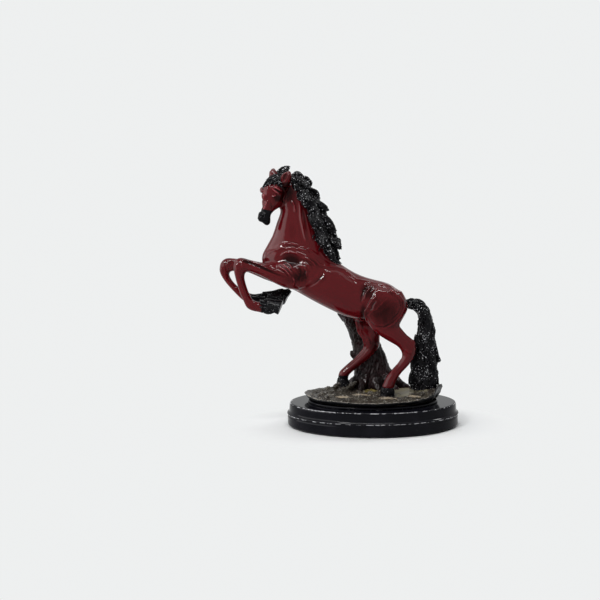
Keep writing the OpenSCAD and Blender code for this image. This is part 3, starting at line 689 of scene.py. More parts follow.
TRUNK_LINES = [
    (0.8, 1.0, [(291.6, 200.6), (294.4, 205.6), (295.4, 212.6)]),
    (0.8, 0.7, [(298, 197), (300, 206), (301, 219), (304, 234), (307, 244)]),
    (1.3, -0.45, [(296, 204), (298, 219), (300.6, 232), (303.6, 243)]),
    (1.2, -0.45, [(301, 203), (304.6, 220), (307.6, 235), (310, 246)]),
    (0.7, 0.6, [(304.4, 210), (308, 226), (312, 242)]),
    (0.75, 1.0, [(281.6, 245), (286, 243.4), (292, 243.7), (299, 245.4)]),
    (0.8, -0.8, [(283.6, 247.2), (289, 246), (295, 246.6), (300, 248.2)]),
    (0.8, 1.0, [(295, 247.8), (301, 249.4), (306, 251.4), (310, 254)]),
    (0.8, -0.7, [(296, 250.4), (302, 252.2), (307, 255)]),
    (0.6, 0.7, [(300, 246.8), (306, 248.6), (312, 251), (317, 254.6)]),
    (0.8, 1.0, [(280.6, 256), (284, 253.4), (289.6, 252.2), (296, 253.4), (300.4, 256.6)]),
    (0.7, 0.5, [(277, 249.8), (282, 248), (288, 249.4)]),
    (1.1, 0.6, [(264.6, 262), (266, 256), (270.6, 251.6), (278, 249.4)]),
    (0.8, -0.5, [(262.6, 258), (264.6, 252.4), (269.4, 248.6)]),
    (0.8, 0.6, [(303, 257), (308, 259), (313, 262.6), (316.4, 267.4)]),
    (0.9, -0.6, [(300, 258.6), (306, 261.4), (311, 265.4), (313.6, 271)]),
    (0.8, 0.5, [(299, 264.4), (303.6, 266.6), (306.8, 271), (306.4, 277)]),
    (1.0, -0.6, [(297, 266), (300.6, 270), (300.6, 276), (297, 281)]),
    (1.1, -0.8, [(293.6, 280), (295, 286), (299.6, 289.6), (308, 287.4), (316, 282.4), (322.6, 275.6), (325, 268)]),
    (1.3, 0.5, [(298, 287), (306, 284.8), (313.6, 280), (319.4, 273.6)]),
    (0.75, 0.9, [(270, 265.8), (276, 265.8), (282, 268), (287.4, 272), (291, 277.4)]),
    (0.7, -0.8, [(272, 268), (279, 268.6), (284.6, 272), (288.6, 277)]),
    (0.75, 0.9, [(278, 263.6), (284, 265), (289, 269), (292.6, 274.6)]),
    (0.6, -0.7, [(279, 266), (285, 268.4), (289.4, 273)]),
    (0.7, 0.9, [(284.6, 262.4), (289.6, 264.6), (292.6, 269)]),
    (0.6, -0.6, [(284, 264.4), (289, 267), (291.6, 271.6)]),
    (0.8, 0.9, [(292.6, 277), (294.4, 281), (293.6, 286)]),
    (0.9, 0.9, [(314, 258.6), (320, 264.8), (328, 266.6), (337, 267.4), (344, 269.6), (350, 274.4), (357, 279.6),
                (367, 281.4), (377, 283.4)]),
    (1.2, -0.6, [(318, 266.6), (327, 269.4), (337, 270.4), (343, 273), (349, 278.4), (356, 283)]),
    (0.8, 0.8, [(319, 250.6), (324, 257.6), (330, 261.8), (338, 266)]),
    (0.7, 0.5, [(340, 274), (345.4, 279.4), (353, 283.4)]),
    (0.8, 0.8, [(376, 283), (383, 286), (390, 289), (396.4, 294.6), (402, 302)]),
    (0.9, -0.5, [(378, 286.6), (385, 289.4), (391, 293.6), (396, 299)]),
    (0.7, 0.7, [(384, 283.4), (391, 287), (397.6, 293)]),
    (0.9, -0.9, [(361, 304), (361.4, 297), (364, 290), (368.6, 284.6)]),
    (0.8, 0.6, [(364, 300), (366, 293), (371, 287)]),
    (0.8, 0.9, [(368.4, 308), (370, 303.4), (373, 299.4), (376.4, 296.4)]),
    (0.8, -0.7, [(371, 310), (372.4, 305), (376, 300.6)]),
    (0.8, 0.8, [(365.4, 309), (365, 315), (367, 321.6), (371, 327), (375.6, 331.4)]),
    (1.0, -0.6, [(368, 312), (367.8, 317), (370.6, 322.6), (376, 326.6), (384, 327), (391.6, 323.6)]),
    (0.9, 0.7, [(391, 290.6), (398.4, 294.6), (403.4, 301), (404, 308.6), (400.4, 316.4), (393.6, 323.6),
                (384, 329)]),
    (0.9, -0.6, [(394, 295), (399.6, 300.4), (400.8, 307.4), (397.6, 314), (391, 320)]),
    (1.6, -0.14, [(372, 319), (382, 314.4), (393, 306)]),
    (1.6, 0.14, [(372, 314), (381, 310.4), (391, 302)]),
    (1.0, -0.5, [(397, 329), (404, 337), (409.4, 342.5), (411, 349)]),
    (0.9, 0.5, [(381, 332), (392, 337.4), (400.6, 344), (403.4, 351)]),
    (0.8, -0.5, [(409.6, 355), (403, 365), (395.4, 374), (391, 380)]),
    (0.7, 0.6, [(403.6, 356), (397, 366), (389, 375.6)]),
    (1.0, 0.7, [(412.4, 338), (414, 343), (413.4, 349)]),
    (0.8, 0.6, [(405, 349.4), (409, 353), (413, 353.4)]),
    (1.0, -0.7, [(243, 261.4), (252, 264), (262, 268), (272, 272.6), (281, 276)]),
    (0.7, 0.7, [(242, 259.6), (252, 261.6), (262, 265.4), (270, 269.4), (276, 270.4)]),
    (0.9, -0.4, [(250, 270), (260, 273.6), (271, 278.6), (281, 283.6)]),
    (0.7, -0.5, [(241.4, 274), (243.6, 282), (246.6, 291), (250, 299)]),
    (0.6, 0.4, [(238.6, 276), (241, 285), (244.4, 295), (247, 303)]),
    (1.0, 0.6, [(236.6, 262.6), (236.2, 268), (237.6, 273)]),
    (0.8, -0.5, [(240.4, 262), (240.6, 268), (242, 273)]),
    (0.7, 0.6, [(250, 300), (256, 304), (262, 306)]),
    (0.6, -0.5, [(249, 302.6), (255, 306.4), (261, 308.6)]),
]

# %% [markdown]
# The right legs reach forward and down on their own, so they have their own marks, which run
# through to both of their sides.

# %% Marks on the far legs
FAR_SWELLS = [
    (232, 262, 8, 4, 0, 0.5), (245, 262, 12, 5, 6, 0.5), (224, 264, 4, 4, 0, 0.6),
    (362, 325, 10, 6, 70, 0.6), (371, 343, 6, 5, 60, 0.5), (342, 373, 3.5, 3.5, 0, 0.5),
]
FAR_LINES = [
    (0.8, -0.5, [(226, 273), (231, 281), (237, 289), (244, 297)]),
    (0.6, 0.4, [(223.6, 275), (228.6, 283.6), (234.6, 291), (240, 297)]),
    (0.9, 0.6, [(221.4, 262.6), (221, 267), (222.2, 271.6)]),
    (0.8, -0.6, [(225.6, 261), (225, 266), (226.6, 271)]),
    (0.9, -0.6, [(236, 264), (246, 266), (258, 271)]),
    (0.8, 1.4, [(356, 321), (358.4, 331), (363.6, 338.4), (365, 344), (362, 351), (355, 358)]),
    (1.1, -0.7, [(361, 322), (363.6, 331), (369, 338), (371, 345)]),
    (0.8, -0.6, [(369, 347), (362, 355), (354, 362.4), (346, 369)]),
    (0.7, 0.4, [(363.4, 348), (356, 356.6), (348, 363.6)]),
    (0.9, 0.6, [(376.6, 342), (377.6, 347), (375, 351)]),
]


def trunk_marks(points):
    at = pixels(points, -np.abs(points[:, 1]))
    return swell(at, TRUNK_SWELLS), carve(at, TRUNK_LINES)


def far_marks(points):
    at = pixels(points)
    return swell(at, FAR_SWELLS), carve(at, FAR_LINES)


# %% [markdown]
# ## Painted shadow
# Beside the wash and painted shade in the hollows, painted shadow is laid on in a darker
# brown: behind the jaw, over the shoulder, in the flank, down the top of the near forearm and
# inside the thigh.

# %% Where the painted shadow lies
SHADOWS = [
    (286, 192, 6, 11, -10, 0.6), (291, 260, 9, 5.6, 8, 0.95), (301, 276, 8, 8, 0, 0.45),
    (260, 266.4, 21, 2.6, 22, 0.85), (284, 279, 12, 4, 25, 0.35), (368, 290, 8, 8, 20, 0.65),
    (383, 312, 20, 17, 20, 0.66), (298, 272, 12, 12, 10, 0.35), (312, 262, 10, 5, 30, 0.4),
    (363, 315, 3, 10, 0, 0.6), (372, 352, 7, 6, 0, 0.7), (292, 232, 5, 13, 0, 0.35), (305, 214, 3, 16, -6, 0.45),
    (294, 195, 8, 9, 0, 0.45), (405, 303, 5, 6, 0, 0.35), (322, 279, 7, 4, -40, 0.5),
    (228, 262, 10, 3, 0, 0.5), (246, 262, 5, 2.4, 0, 0.5), (390, 290, 6, 4, 30, 0.3),
]
FAR_SHADOWS = [
    (228, 262, 12, 4, 0, 0.5), (234, 280, 14, 2.6, 55, 0.4), (363, 320, 8, 9, 0, 0.7),
    (374, 346, 7, 9, 0, 0.75), (356, 366, 14, 3, -40, 0.5),
]
FAR_SIDE_SHARE = 0.35


def shadow(points):
    """The painted shadow, which fades to a share of itself on the side that nobody sees."""
    near = np.clip(1 - points[:, 1] / 9, FAR_SIDE_SHARE, 1)
    return swell(pixels(points, -np.abs(points[:, 1])), SHADOWS) * near


def far_shadow(points):
    return swell(pixels(points), FAR_SHADOWS)


# %% [markdown]
# ## The face
# The photograph shows the left cheek, so its marks are placed by pixels like the trunk's. A
# point of the right cheek is first mirrored in the head's own axes, and gets the same marks.
# Only the far forehead stays plain, because the lines above the eye run off its edge there.

# %% Marks on the face
FACE_SWELLS = [
    (264.5, 189.5, 4.0, 2.6, -35, 0.8), (277, 190, 5.4, 3.4, 35, 0.7), (274.6, 197.2, 5.4, 2.2, 22, 0.6),
    (279.5, 203, 5.5, 5, 0, 0.7), (264.6, 213.6, 2.6, 3.2, 0, 0.5), (262, 200, 1.6, 9, 6, -0.3),
    (268, 199.6, 2.2, 4.4, 10, -0.5), (267.4, 212, 2.4, 3, 0, -0.35), (266, 221, 3, 2, 20, 0.5),
]
FACE_LINES = [
    (0.8, 0.7, [(270.4, 185), (272.6, 188.4), (275.2, 191.2), (278, 192.8), (280.4, 193.3)]),
    (0.8, 0.7, [(273.6, 186.4), (276.4, 187.9), (279, 189.6), (281.2, 191.6), (280.4, 193)]),
    (0.9, -0.9, [(274, 188.6), (276, 189.9), (278.2, 191.0), (279.4, 191.7)]),
    (0.5, -0.5, [(270, 188), (273, 191.4), (276.4, 193.6), (280, 194.8)]),
    (0.6, 0.6, [(271.6, 197.2), (273.2, 196.4), (275.4, 195.4), (277, 195)]),
    (0.6, 1.1, [(268.2, 200.4), (266.4, 204), (264.6, 207.4), (263.2, 210)]),
    (0.6, -0.5, [(264.8, 199), (263.6, 204), (262.9, 209)]),
    (0.7, 0.5, [(261.8, 195), (261.6, 202), (261.2, 209)]),
    (0.8, -0.6, [(259.4, 190.6), (261.4, 190.8), (263.6, 190.2)]),
    (0.6, 0.5, [(260.4, 188.6), (263.4, 187.8), (267, 186.4)]),
    (0.9, -0.7, [(282.4, 186), (283.6, 191), (283.8, 197), (282.6, 203)]),
    (0.7, 0.4, [(285, 190), (286.4, 196), (285.4, 203)]),
    (0.9, -0.5, [(270.6, 200), (272.4, 204.4), (271.6, 209)]),
    (0.7, -1.4, [(262.4, 215.2), (263.4, 216.2), (263.2, 217.6)]),
    (0.6, 0.5, [(261.6, 214), (263.6, 213.4), (265.2, 215.2), (264.8, 218)]),
    (0.5, -0.8, [(259, 221.4), (262, 221.2), (265.4, 221.4), (268.4, 220)]),
]
NOSE_LINES = [
    (2.4, 0.3, [(3.4, -3), (3.4, -12), (2.8, -20), (2.6, -25)]),
    (2.0, 0.4, [(0, -29), (0, -33)]),
]


def left_side(points):
    """Pixels of points on the head, each seen as its twin on the left."""
    at = in_head(points)
    at[:, 1] = -np.abs(at[:, 1])
    return pixels(from_head(at))


def face_marks(points, normals):
    facing = normals @ HEAD_AXES
    side = np.clip(np.abs(facing[:, 1]) * 2.2, 0, 1)
    front = np.clip(-facing[:, 0] * 1.6, 0, 1)
    from_side = left_side(points)
    at = in_head(points)
    from_front = np.stack([np.abs(at[:, 1]), at[:, 2]], 1)
    from_eye = np.linalg.norm(at - EYE_AT * (1, -1, 1), axis=1)
    beyond_lids = np.clip((from_eye - 4.5) / 1.5, 0, 1)
    far_forehead = np.clip(at[:, 1] / 2, 0, 1) * beyond_lids * np.clip((at[:, 2] + 12) / 3, 0, 1)
    side_lines = carve(from_side, FACE_LINES) * side * (1 - far_forehead)
    return swell(from_side, FACE_SWELLS) * side, side_lines + carve(from_front, NOSE_LINES) * front


# %% [markdown]
# ## Casting the horse
# The horse is cast in eight pieces, one for each packed casting. Each piece is cut from the
# same pressed clay and laps a little way under its neighbour, so its lacquer runs on without
# a seam. The head and the ears get finer clay than the trunk.

# %% Press, carve and cast one piece
ROUGH = [(306, 270, 9, 11, 20, 0.22), (371, 289, 8, 7, 20, 0.3), (308, 251, 8, 3, 25, 0.2),
         (390, 292, 6, 3, 35, 0.2), (288, 193, 4, 8, 0, 0.2)]


def broken(points, rows):
    """Small lumps left by a wooden tool, where the rows of swells put them."""
    at = pixels(points, -np.abs(points[:, 1]))
    amount = swell(at, rows)
    where = np.flatnonzero(amount > 0.03)
    heights = np.zeros(len(points))
    heights[where] = amount[where] * [noise.fractal(Vector(p), 0.6, 2.0, 2) for p in points[where] / 2.1]
    return heights


FILLETS = {"head": 2.5, "ear": 1.0, "foreleg": 4.0, "hind": 6.0}
LAP = 3.0
MARGIN = 4.0
MOST_REGAINED = 0.6
CUT_DEPTH = 0.75
RAISED_HEIGHT = 1.15


def fillet(one, other):
    return min(FILLETS[n.split("_")[0]] for n in (one, other) if n != "body")


def horse_piece(name, neighbours, pitch, rounds, grow=0.0, extra=None):
    """Presses one casting to its neighbours, cuts it out with a lap, and sponges its skin."""
    clay = box_of(name, MARGIN, pitch)
    clay.dist -= grow
    own = clay.dist.copy()
    rest = np.full_like(own, FAR)
    for other in neighbours:
        found = clay.casting(other)
        clay.press(found, fillet(name, other))
        np.minimum(rest, found, out=rest)
    if extra is not None:
        extra(clay)
    whole = clay.dist.copy()
    np.maximum(clay.dist, own - rest - LAP, out=clay.dist)
    sculpt = clay.skin(name + "_cast")
    sculpt.relax(rounds)
    lost = sculpt.sponge(-clay.sample(sculpt.points, whole), rounds)
    sculpt.push(np.clip(lost, -MOST_REGAINED, MOST_REGAINED))
    return sculpt


def carve_and_cast(sculpt, marks, node, shade, black=None, rough=(), rounds=14, shine=1.0, light=None):
    """Swells first, then lines on the swollen surface, then painted shade, the dipping and painted highlights."""
    sculpt.push(marks(sculpt)[0])
    lines = marks(sculpt)[1]
    sculpt.push(np.where(lines < 0, CUT_DEPTH * lines, RAISED_HEIGHT * lines) + broken(sculpt.points, rough))
    sculpt.relax(1, 0.3)
    # Painted shadow first; the hollows then add their wash and painted shade.
    sculpt.wash_and_shade = shade(sculpt.points)
    if black is not None:
        sculpt.black = black(sculpt.points)
    ridge = sculpt.hollows(rounds, 0.65) * shine
    if light is not None:
        ridge = np.clip(ridge + light(sculpt.points), 0, 1)
    sculpt.cast(LACQUER, "lacquer", node, ridge=ridge)


# %% [markdown]
# The trunk and the legs take their marks on the sides that face the viewer or face away, and
# the marks fade out where the surface turns edge on. The feet were dipped in black, each to
# its own height.


# %% Cast the trunk and the legs
def sideways(sculpt):
    return np.clip(np.abs(sculpt.normals[:, 1]) * 2.0, 0, 1)


def on_trunk(sculpt):
    side = sideways(sculpt)
    swells, lines = trunk_marks(sculpt.points)
    return swells * side, lines * np.clip(side + 0.3, 0, 1)


def on_far_leg(sculpt):
    side = sideways(sculpt)
    swells, lines = far_marks(sculpt.points)
    return swells * side, lines * side


def dipped_near(points):
    """The black of the near front hoof runs up its pastern."""
    at = pixels(points)
    return np.clip((at[:, 0] - 257.5) / 7, 0, 1) * (at[:, 1] > 297)


def dipped_far(points):
    at = pixels(points)
    return np.clip((at[:, 0] - 247.5) / 6, 0, 1) * np.clip((at[:, 1] - 289) / 4, 0, 1) * (at[:, 0] < 300)


def dipped_hind(points):
    """The far hind foot is dark from its fetlock down."""
    at = pixels(points)
    return np.clip((at[:, 1] - 373) / 5, 0, 1)


DIPPED = {"foreleg_left": dipped_near, "foreleg_right": dipped_far, "hind_leg_right": dipped_hind}
PITCH = 0.45
ROUNDS = 40
LIMBS = ["foreleg_left", "foreleg_right", "hind_leg_left", "hind_leg_right"]
carve_and_cast(horse_piece("body", ["head"] + LIMBS, PITCH, ROUNDS), on_trunk, "body", shadow, rough=ROUGH)
for limb in LIMBS:
    marks, shade = (on_trunk, shadow) if limb.endswith("left") else (on_far_leg, far_shadow)
    carve_and_cast(horse_piece(limb, ["body"], PITCH, ROUNDS), marks, limb, shade, DIPPED.get(limb), ROUGH)

# %% [markdown]
# The head has lids over the eyeballs and a built up far brow, and its nose and muzzle are
# pulled to the photograph's outline. The ears are scooped out with a thumb. Each opens
# forward and a little outward.

# %% Cast the head and the ears
FINE = 0.3
EAR_LINE = np.array([(-9.5, 8, 5), (-10.5, 9.5, 9.5), (-10.5, 11, 14), (-9.5, 12, 17.5)])
EAR_OPENS = np.array([-0.86, 0.5, 0.0])
SCOOP_WIDTH = 1.9
SCOOP_DEPTH = 2.4
EAR_KEPT = 10
EAR_SHORTENED = 0.76
LID_RADIUS = 3.55
LID_FILLET = 0.7
FAR_BROW = [(262.6, 190.6, -13.8), (262.9, 190.2, -10.6), (264.8, 189.4, -7.6)]
FAR_BROW_RADII = [1.9, 2.3, 1.9]
FAR_BROW_FILLET = 2.4
BROW_OFFSET = (-1.2, 0.8, 2.6)
BROW_SIZE = 2.8
BROW_HEIGHT = 0.9


def ear_scoop(points):
    """How deep the thumb goes into the ears, in millimetres."""
    at = in_head(points)
    at[:, 1] = np.abs(at[:, 1])
    _, number, along = nearest_run(at, EAR_LINE)
    off = at - EAR_LINE[number] - along[:, None] * np.diff(EAR_LINE, axis=0)[number]
    ahead = off @ EAR_OPENS
    wide = np.linalg.norm(off - ahead[:, None] * EAR_OPENS, axis=1)
    fore = np.where(ahead > 0, np.exp(-(wide / SCOOP_WIDTH) ** 4), 0)
    span = np.clip((at[:, 2] - 5.5) / 2, 0, 1) * np.clip((15.4 - at[:, 2]) / 2.5, 0, 1)
    return SCOOP_DEPTH * fore * span


def blunt_ear(points):
    """Shortens and widens an ear, which is a broad leaf with a round tip."""
    at = in_head(points)
    side = np.sign(at[:, 1])
    middle = np.stack([np.interp(at[:, 2], EAR_LINE[:, 2], EAR_LINE[:, k]) for k in (0, 1)], 1)
    middle[:, 1] *= side
    wide = 1 + 0.12 * np.exp(-((at[:, 2] - 13.5) / 4.5) ** 2)
    at[:, :2] = middle + (at[:, :2] - middle) * wide[:, None]
    above = at[:, 2] - EAR_KEPT
    at[:, 2] = np.where(above > 0, EAR_KEPT + above * EAR_SHORTENED, at[:, 2])
    return from_head(at)


NOSE_PULLS = [
    (263.4, 196.4, 2.4, 3.6, 0, 1.5), (262.6, 204.4, 2.0, 2.6, 0, -0.6), (263.4, 209.8, 2.0, 1.8, 0, 0.9),
]
MUZZLE_PULLS = [
    (258.4, 217.2, 5.0, 3.8, 20, 1.5), (260, 212.6, 2.6, 2.4, 0, 0.7), (260.6, 223.8, 3.0, 1.8, 25, -1.1),
    (267, 223.6, 2.6, 1.6, -10, 0.7), (271.6, 217, 1.6, 4.0, 0, -0.5),
]
FACE_SHADOWS = [
    (277.4, 198.6, 4.6, 3.4, 20, 0.85), (284, 195, 4, 9, 0, 0.75), (277, 190.2, 3.4, 1.0, 33, 1.6),
    (284, 184, 5, 4, 0, 0.6), (261.4, 190.8, 2.2, 1.2, 0, 0.9), (270, 196, 2, 3, 0, 0.3),
]
# Painted highlights on the face, laid by pixels.
FACE_HIGHLIGHTS = [
    (265.2, 206.4, 0.8, 4.2, 25, 1.5), (277.2, 188.4, 4.6, 0.8, 33, 1.1), (263.8, 195, 1.4, 6, 4, 0.6),
    (275.6, 191.6, 5.2, 0.8, 38, 1.1), (274.2, 195.8, 1.6, 0.9, -20, 1.2),
]


def lids(clay):
    """Covers each eyeball, so that a slit can be cut between two lids, and builds up the far brow."""
    for middle in EYES.values():
        clay.rods(np.array([middle, middle + 0.01]), [LID_RADIUS, LID_RADIUS], LID_FILLET)
    clay.rods(np.array([spot(*at) for at in FAR_BROW]), FAR_BROW_RADII, FAR_BROW_FILLET)


def on_head(sculpt):
    at = in_head(sculpt.points)
    at[:, 1] = np.abs(at[:, 1])
    from_brow = np.linalg.norm(at - EYE_AT * (1, -1, 1) - BROW_OFFSET, axis=1)
    brow = BROW_HEIGHT * np.exp(-(from_brow / BROW_SIZE) ** 2)
    seen = pixels(sculpt.points)
    muzzle_out = swell(seen, MUZZLE_PULLS) * (at[:, 2] < -18) + swell(seen, NOSE_PULLS) * (at[:, 2] < -8)
    swells, lines = face_marks(sculpt.points, sculpt.normals)
    return swells + brow + muzzle_out, lines


def muzzle(points):
    """The black of the muzzle, with a slanting upper edge."""
    at = in_head(points)
    return np.clip((-22.6 - at[:, 2] - 0.12 * (at[:, 0] + 20)) / 3.4 + 0.5, 0, 1)


# Painted shade on the face: round the eyes, in the slit between the lids, behind the cheek and under the near ear.
def face_shade(points):
    return swell(left_side(points), FACE_SHADOWS)


def painted_face_highlights(points):
    """Painted highlights: both lids, the nose and the forehead's edge."""
    return swell(pixels(points), FACE_HIGHLIGHTS)


def ear_shade(points):
    """Painted shade all over an ear, more in the scoop and most at its root."""
    return 0.25 + ear_scoop(points) * 0.1 + 0.7 * np.clip((left_side(points)[:, 1] - 181) / 3, 0, 1)


def on_ear(sculpt):
    plain = np.zeros(len(sculpt.points))
    return plain, plain


head = horse_piece("head", ["body", "ear_left", "ear_right"], FINE, 14, extra=lids)
carve_and_cast(head, on_head, "head", face_shade, muzzle, rounds=10, light=painted_face_highlights)
for side in ("left", "right"):
    ear = horse_piece("ear_" + side, ["head"], FINE, 12, grow=1.0)
    ear.points = blunt_ear(ear.points)
    scoop = ear_scoop(ear.points)
    outward = EAR_OPENS * (1, -1 if side == "left" else 1, 1) @ HEAD_AXES.T
    ear.points = ear.points - scoop[:, None] * outward
    ear.relax(3)
    carve_and_cast(ear, on_ear, "ear_" + side, ear_shade, rounds=8, shine=0.3)

# %% [markdown]
# ## Combing hair
# The mane is not a smooth lump: it is some hundreds of small wet locks that lie over each
# other like roof tiles. Laying each by hand would take days, so a comb does it. Roots are
# scattered evenly over the casting, and every lock walks over its surface along the way the
# hair falls, swings from side to side, and lifts off towards its tip. Each lock is then spun
# from two or three twisted strands, because a single rope would look like a worm.


# %% Scatter roots and comb them
ONE_TURN = 6.28
OUTLINE_INSET = 1.6


def scatter(points, gap, random):
    """Keeps about one point in each cube with sides of this many millimetres."""
    order = random.permutation(len(points))
    _, first = np.unique(np.floor(points[order] / gap + random.random(3)), axis=0, return_index=True)
    return points[order[first]]


def steady(way):
    """A heading for the comb that is the same everywhere."""
    return lambda at: np.tile(way, (len(at), 1))


def comb(guide, roots, heading, steps, stride, swing, lift, random):
    """Paths over the guide's surface, one row for each root, and the way out at each point.

    The stride is in millimetres, and lift is the height over the surface at root and tip.
    """
    at = roots.copy()
    phase = random.uniform(0, 2 * math.pi, len(roots))
    beat = random.uniform(0.55, 1.0, len(roots))
    stride = stride * random.uniform(0.8, 1.25, len(roots))
    tips = lift[1] * random.uniform(0.2, 1.6, len(roots))
    path, outs = [], []
    out = guide.slope(at)
    for k in range(steps + 1):
        share = k / steps
        level = lift[0] + (tips - lift[0]) * share ** 2
        error = guide.sample(at) - level
        at = at - np.clip(error, -1.0, 0.6)[:, None] * out
        path.append(at.copy())
        outs.append(out)
        way = heading(at)
        side = np.cross(out, way)
        way = way + (swing * np.sin(phase + beat * k))[:, None] * side
        way = way - np.einsum("ij,ij->i", way, out)[:, None] * out * (1 - 0.5 * share)
        at = at + stride[:, None] * unit(way)
        out = unit(out + 0.5 * (guide.slope(at) - out))
    return np.stack(path, 1), np.stack(outs, 1)


def spin(clay, path, outs, thick, strands=1, twist=0, phase=0, blend=0.25):
    """Twists strands into one lock along a path. Twist and phase are in radians."""
    share = np.linspace(0, 1, len(path))
    side = np.cross(unit(np.gradient(path, axis=0)), outs)
    body = np.sin(math.pi * np.clip(0.12 + 0.88 * share, 0, 1)) ** 0.55
    radii = thick * (0.25 + 0.75 * body)
    for k in range(strands):
        angle = phase + 2 * math.pi * k / strands + twist * share
        reach = 0.85 * radii * (strands > 1)
        clay.rods(path + (reach * np.cos(angle))[:, None] * side + (reach * np.sin(angle))[:, None] * outs,
                  radii, blend)


def smooth_line(points, count):
    """A soft curve through given points, as this many points."""
    points = np.array(points, float)
    ends = np.concatenate([2 * points[:1] - points[1:2], points, 2 * points[-1:] - points[-2:-1]])
    found = []
    for t in np.linspace(0, len(points) - 1 - 1e-6, count):
        k, f = int(t), t - int(t)
        a, b, c, d = ends[k:k + 4]
        found.append(0.5 * (2 * b + (c - a) * f + (2 * a - 5 * b + 4 * c - d) * f ** 2
                            + (3 * b - a - 3 * c + d) * f ** 3))
    return np.array(found)


# %% [markdown]
# Combed hair and cast hooves come out rounder than the photograph's outline, so a wire is
# drawn through the clay along that outline. Everything on its outer side falls away.


# %% Trim clay to an outline
def trim(clay, line, inset):
    """Cuts the clay along a line of pixels, seen from the camera. What lies left of the line stays."""
    line = np.array(line, float)
    x = (np.arange(clay.count[0]) + clay.first[0]) * clay.pitch
    z = (np.arange(clay.count[2]) + clay.first[2]) * clay.pitch
    grid = np.stack(np.meshgrid(x, [0.0], z, indexing="ij"), -1).reshape(-1, 3)
    at = pixels(grid)
    gap, number, _ = nearest_run(at, line, 1e-9)
    run = np.diff(line, axis=0)[number]
    off = at - line[number]
    side = np.sign(run[:, 1] * off[:, 0] - run[:, 0] * off[:, 1])
    cut = (side * gap * PIXEL_MM).reshape(clay.count[0], 1, clay.count[2]).astype(np.float32)
    np.maximum(clay.dist, cut + inset, out=clay.dist)


# %% [markdown]
# ## The mane
# It falls back and down from the crest, on both sides of the neck. The tips that break its
# outline are listed one by one, since they are what the eye reads first.

# %% Comb the mane
HAIR_PITCH = 0.42
HAIR_THICK = 0.92
WISP_SHARE = 0.55
TIP_SHARE = 1.3
MANE_OUTLINE = [
    (270, 172), (292, 171.6), (296, 171.6), (301, 174), (306, 176), (310, 181), (310.6, 187), (314.6, 190),
    (319, 195), (320, 200), (324, 204), (328, 208), (326, 213), (329, 217), (333, 223), (335.4, 228),
    (334, 233), (337.6, 238), (341, 244), (340.6, 249), (339, 257), (337, 264), (336, 290),
]
MANE_WISP_DEPTH = -14
MANE_WISPS = [
    [(299, 181), (296, 186), (294.4, 191), (294.4, 195)], [(301, 189), (298.6, 194), (298, 200)],
    [(304, 196), (301.4, 201), (301.6, 207)], [(307, 204), (304.6, 209), (305, 215)],
    [(311, 212), (307.6, 217), (308, 223)], [(313, 220), (310, 225), (311, 231)],
    [(316, 228), (313, 233), (313.6, 239)], [(319, 236), (316, 240), (317, 246)],
    [(322, 243), (319.4, 247), (321, 252)], [(302, 193), (299.4, 198), (299.6, 203)],
]
MANE_TIPS = [
    [(290, 179), (295, 173.6), (300, 174), (304, 178)], [(297, 176), (303, 177), (308, 179), (309, 185)],
    [(301, 180), (307, 180), (311, 183), (309, 188)], [(303, 188), (310, 189), (316, 191.6), (319.6, 196.6)],
    [(306, 194), (313, 193), (318, 196), (317, 201)], [(311, 199), (317, 201), (323, 205), (327.8, 207.6)],
    [(312, 203), (319, 206), (325, 207), (327, 209.4)], [(315, 210), (321, 211), (326, 216), (329, 221)],
    [(318, 215), (325, 217), (331, 222), (335, 228)], [(318, 220), (326, 224), (332, 227.6), (334, 229.4)],
    [(320, 228), (327, 230), (333, 232.6), (337.4, 237.4)], [(322, 234), (329, 236), (334.6, 238), (336, 239.4)],
    [(324, 239), (331, 239), (337, 240.6), (341, 244.4)], [(325, 243), (332, 243), (338, 244), (339.8, 248.6)],
    [(326, 247), (332, 249), (337, 252), (338, 257)], [(325, 250), (330, 254), (334, 257), (335, 261)],
]
MANE_TIP_DEPTHS = [-3, 0, 3, -2, 2, -3, 3, 0, -3, 3, -3, 2, -2, 2, 0, -2]


def mane_falls(at):
    low = np.clip((at[:, 2] - 160) / 85, 0, 1)
    return np.stack([0.55 + 0.35 * low, 0.12 * np.sign(at[:, 1]), -0.85 + 0.25 * low], 1)


def at_depths(lines, depths):
    """Lines of pixels as lines in millimetres, each at its own depth."""
    return [[spot(u, v, depth) for u, v in line] for line, depth in zip(lines, depths)]


def cast_hair(clay, name, node):
    """Skins combed clay, marks its hollows and its ridges, and casts it in black."""
    sculpt = clay.skin(name)
    sculpt.relax(1, 0.35)
    ridge = sculpt.hollows(6, 0.35)
    sculpt.cast(HAIR_BLACK, "horse_black", node, ridge=ridge)


def locks(node, skin_loss, gap, heading, steps, stride, swing, lift, seed, tips, wisps=(), over=(), outline=None):
    """Combs one casting into locks and casts the result in black."""
    random = np.random.default_rng(seed)
    thick = HAIR_THICK
    clay = box_of(node, MARGIN, HAIR_PITCH)
    if outline is not None:
        trim(clay, outline, OUTLINE_INSET)
    roots = scatter(clay.skin("roots").points, gap, random)
    guide = box_of(node, MARGIN, HAIR_PITCH, filled=False)
    guide.dist[:] = clay.dist + 0.5 * thick
    for other in over:
        np.minimum(guide.dist, guide.casting(other), out=guide.dist)
    clay.dist += skin_loss
    paths, outs = comb(guide, roots, heading, steps, stride, swing, lift, random)
    for path, out in zip(paths, outs):
        spin(clay, path, out, thick=thick * random.uniform(0.8, 1.25), strands=2,
             twist=random.uniform(-5, 5), phase=random.uniform(0, ONE_TURN))
    for line in wisps:
        path = smooth_line(line, 12)
        for _ in range(3):
            path = path - np.clip(guide.sample(path), -4, 4)[:, None] * guide.slope(path)
        spin(clay, path, guide.slope(path), thick=WISP_SHARE * thick, strands=2,
             twist=3.0, phase=random.uniform(0, ONE_TURN))
    for line in tips:
        path = smooth_line(line, 12)
        spin(clay, path, guide.slope(path), thick=TIP_SHARE * thick, strands=3,
             twist=4.0, phase=random.uniform(0, ONE_TURN))
    print(node, len(roots), "locks")
    cast_hair(clay, node + "_locks", node)


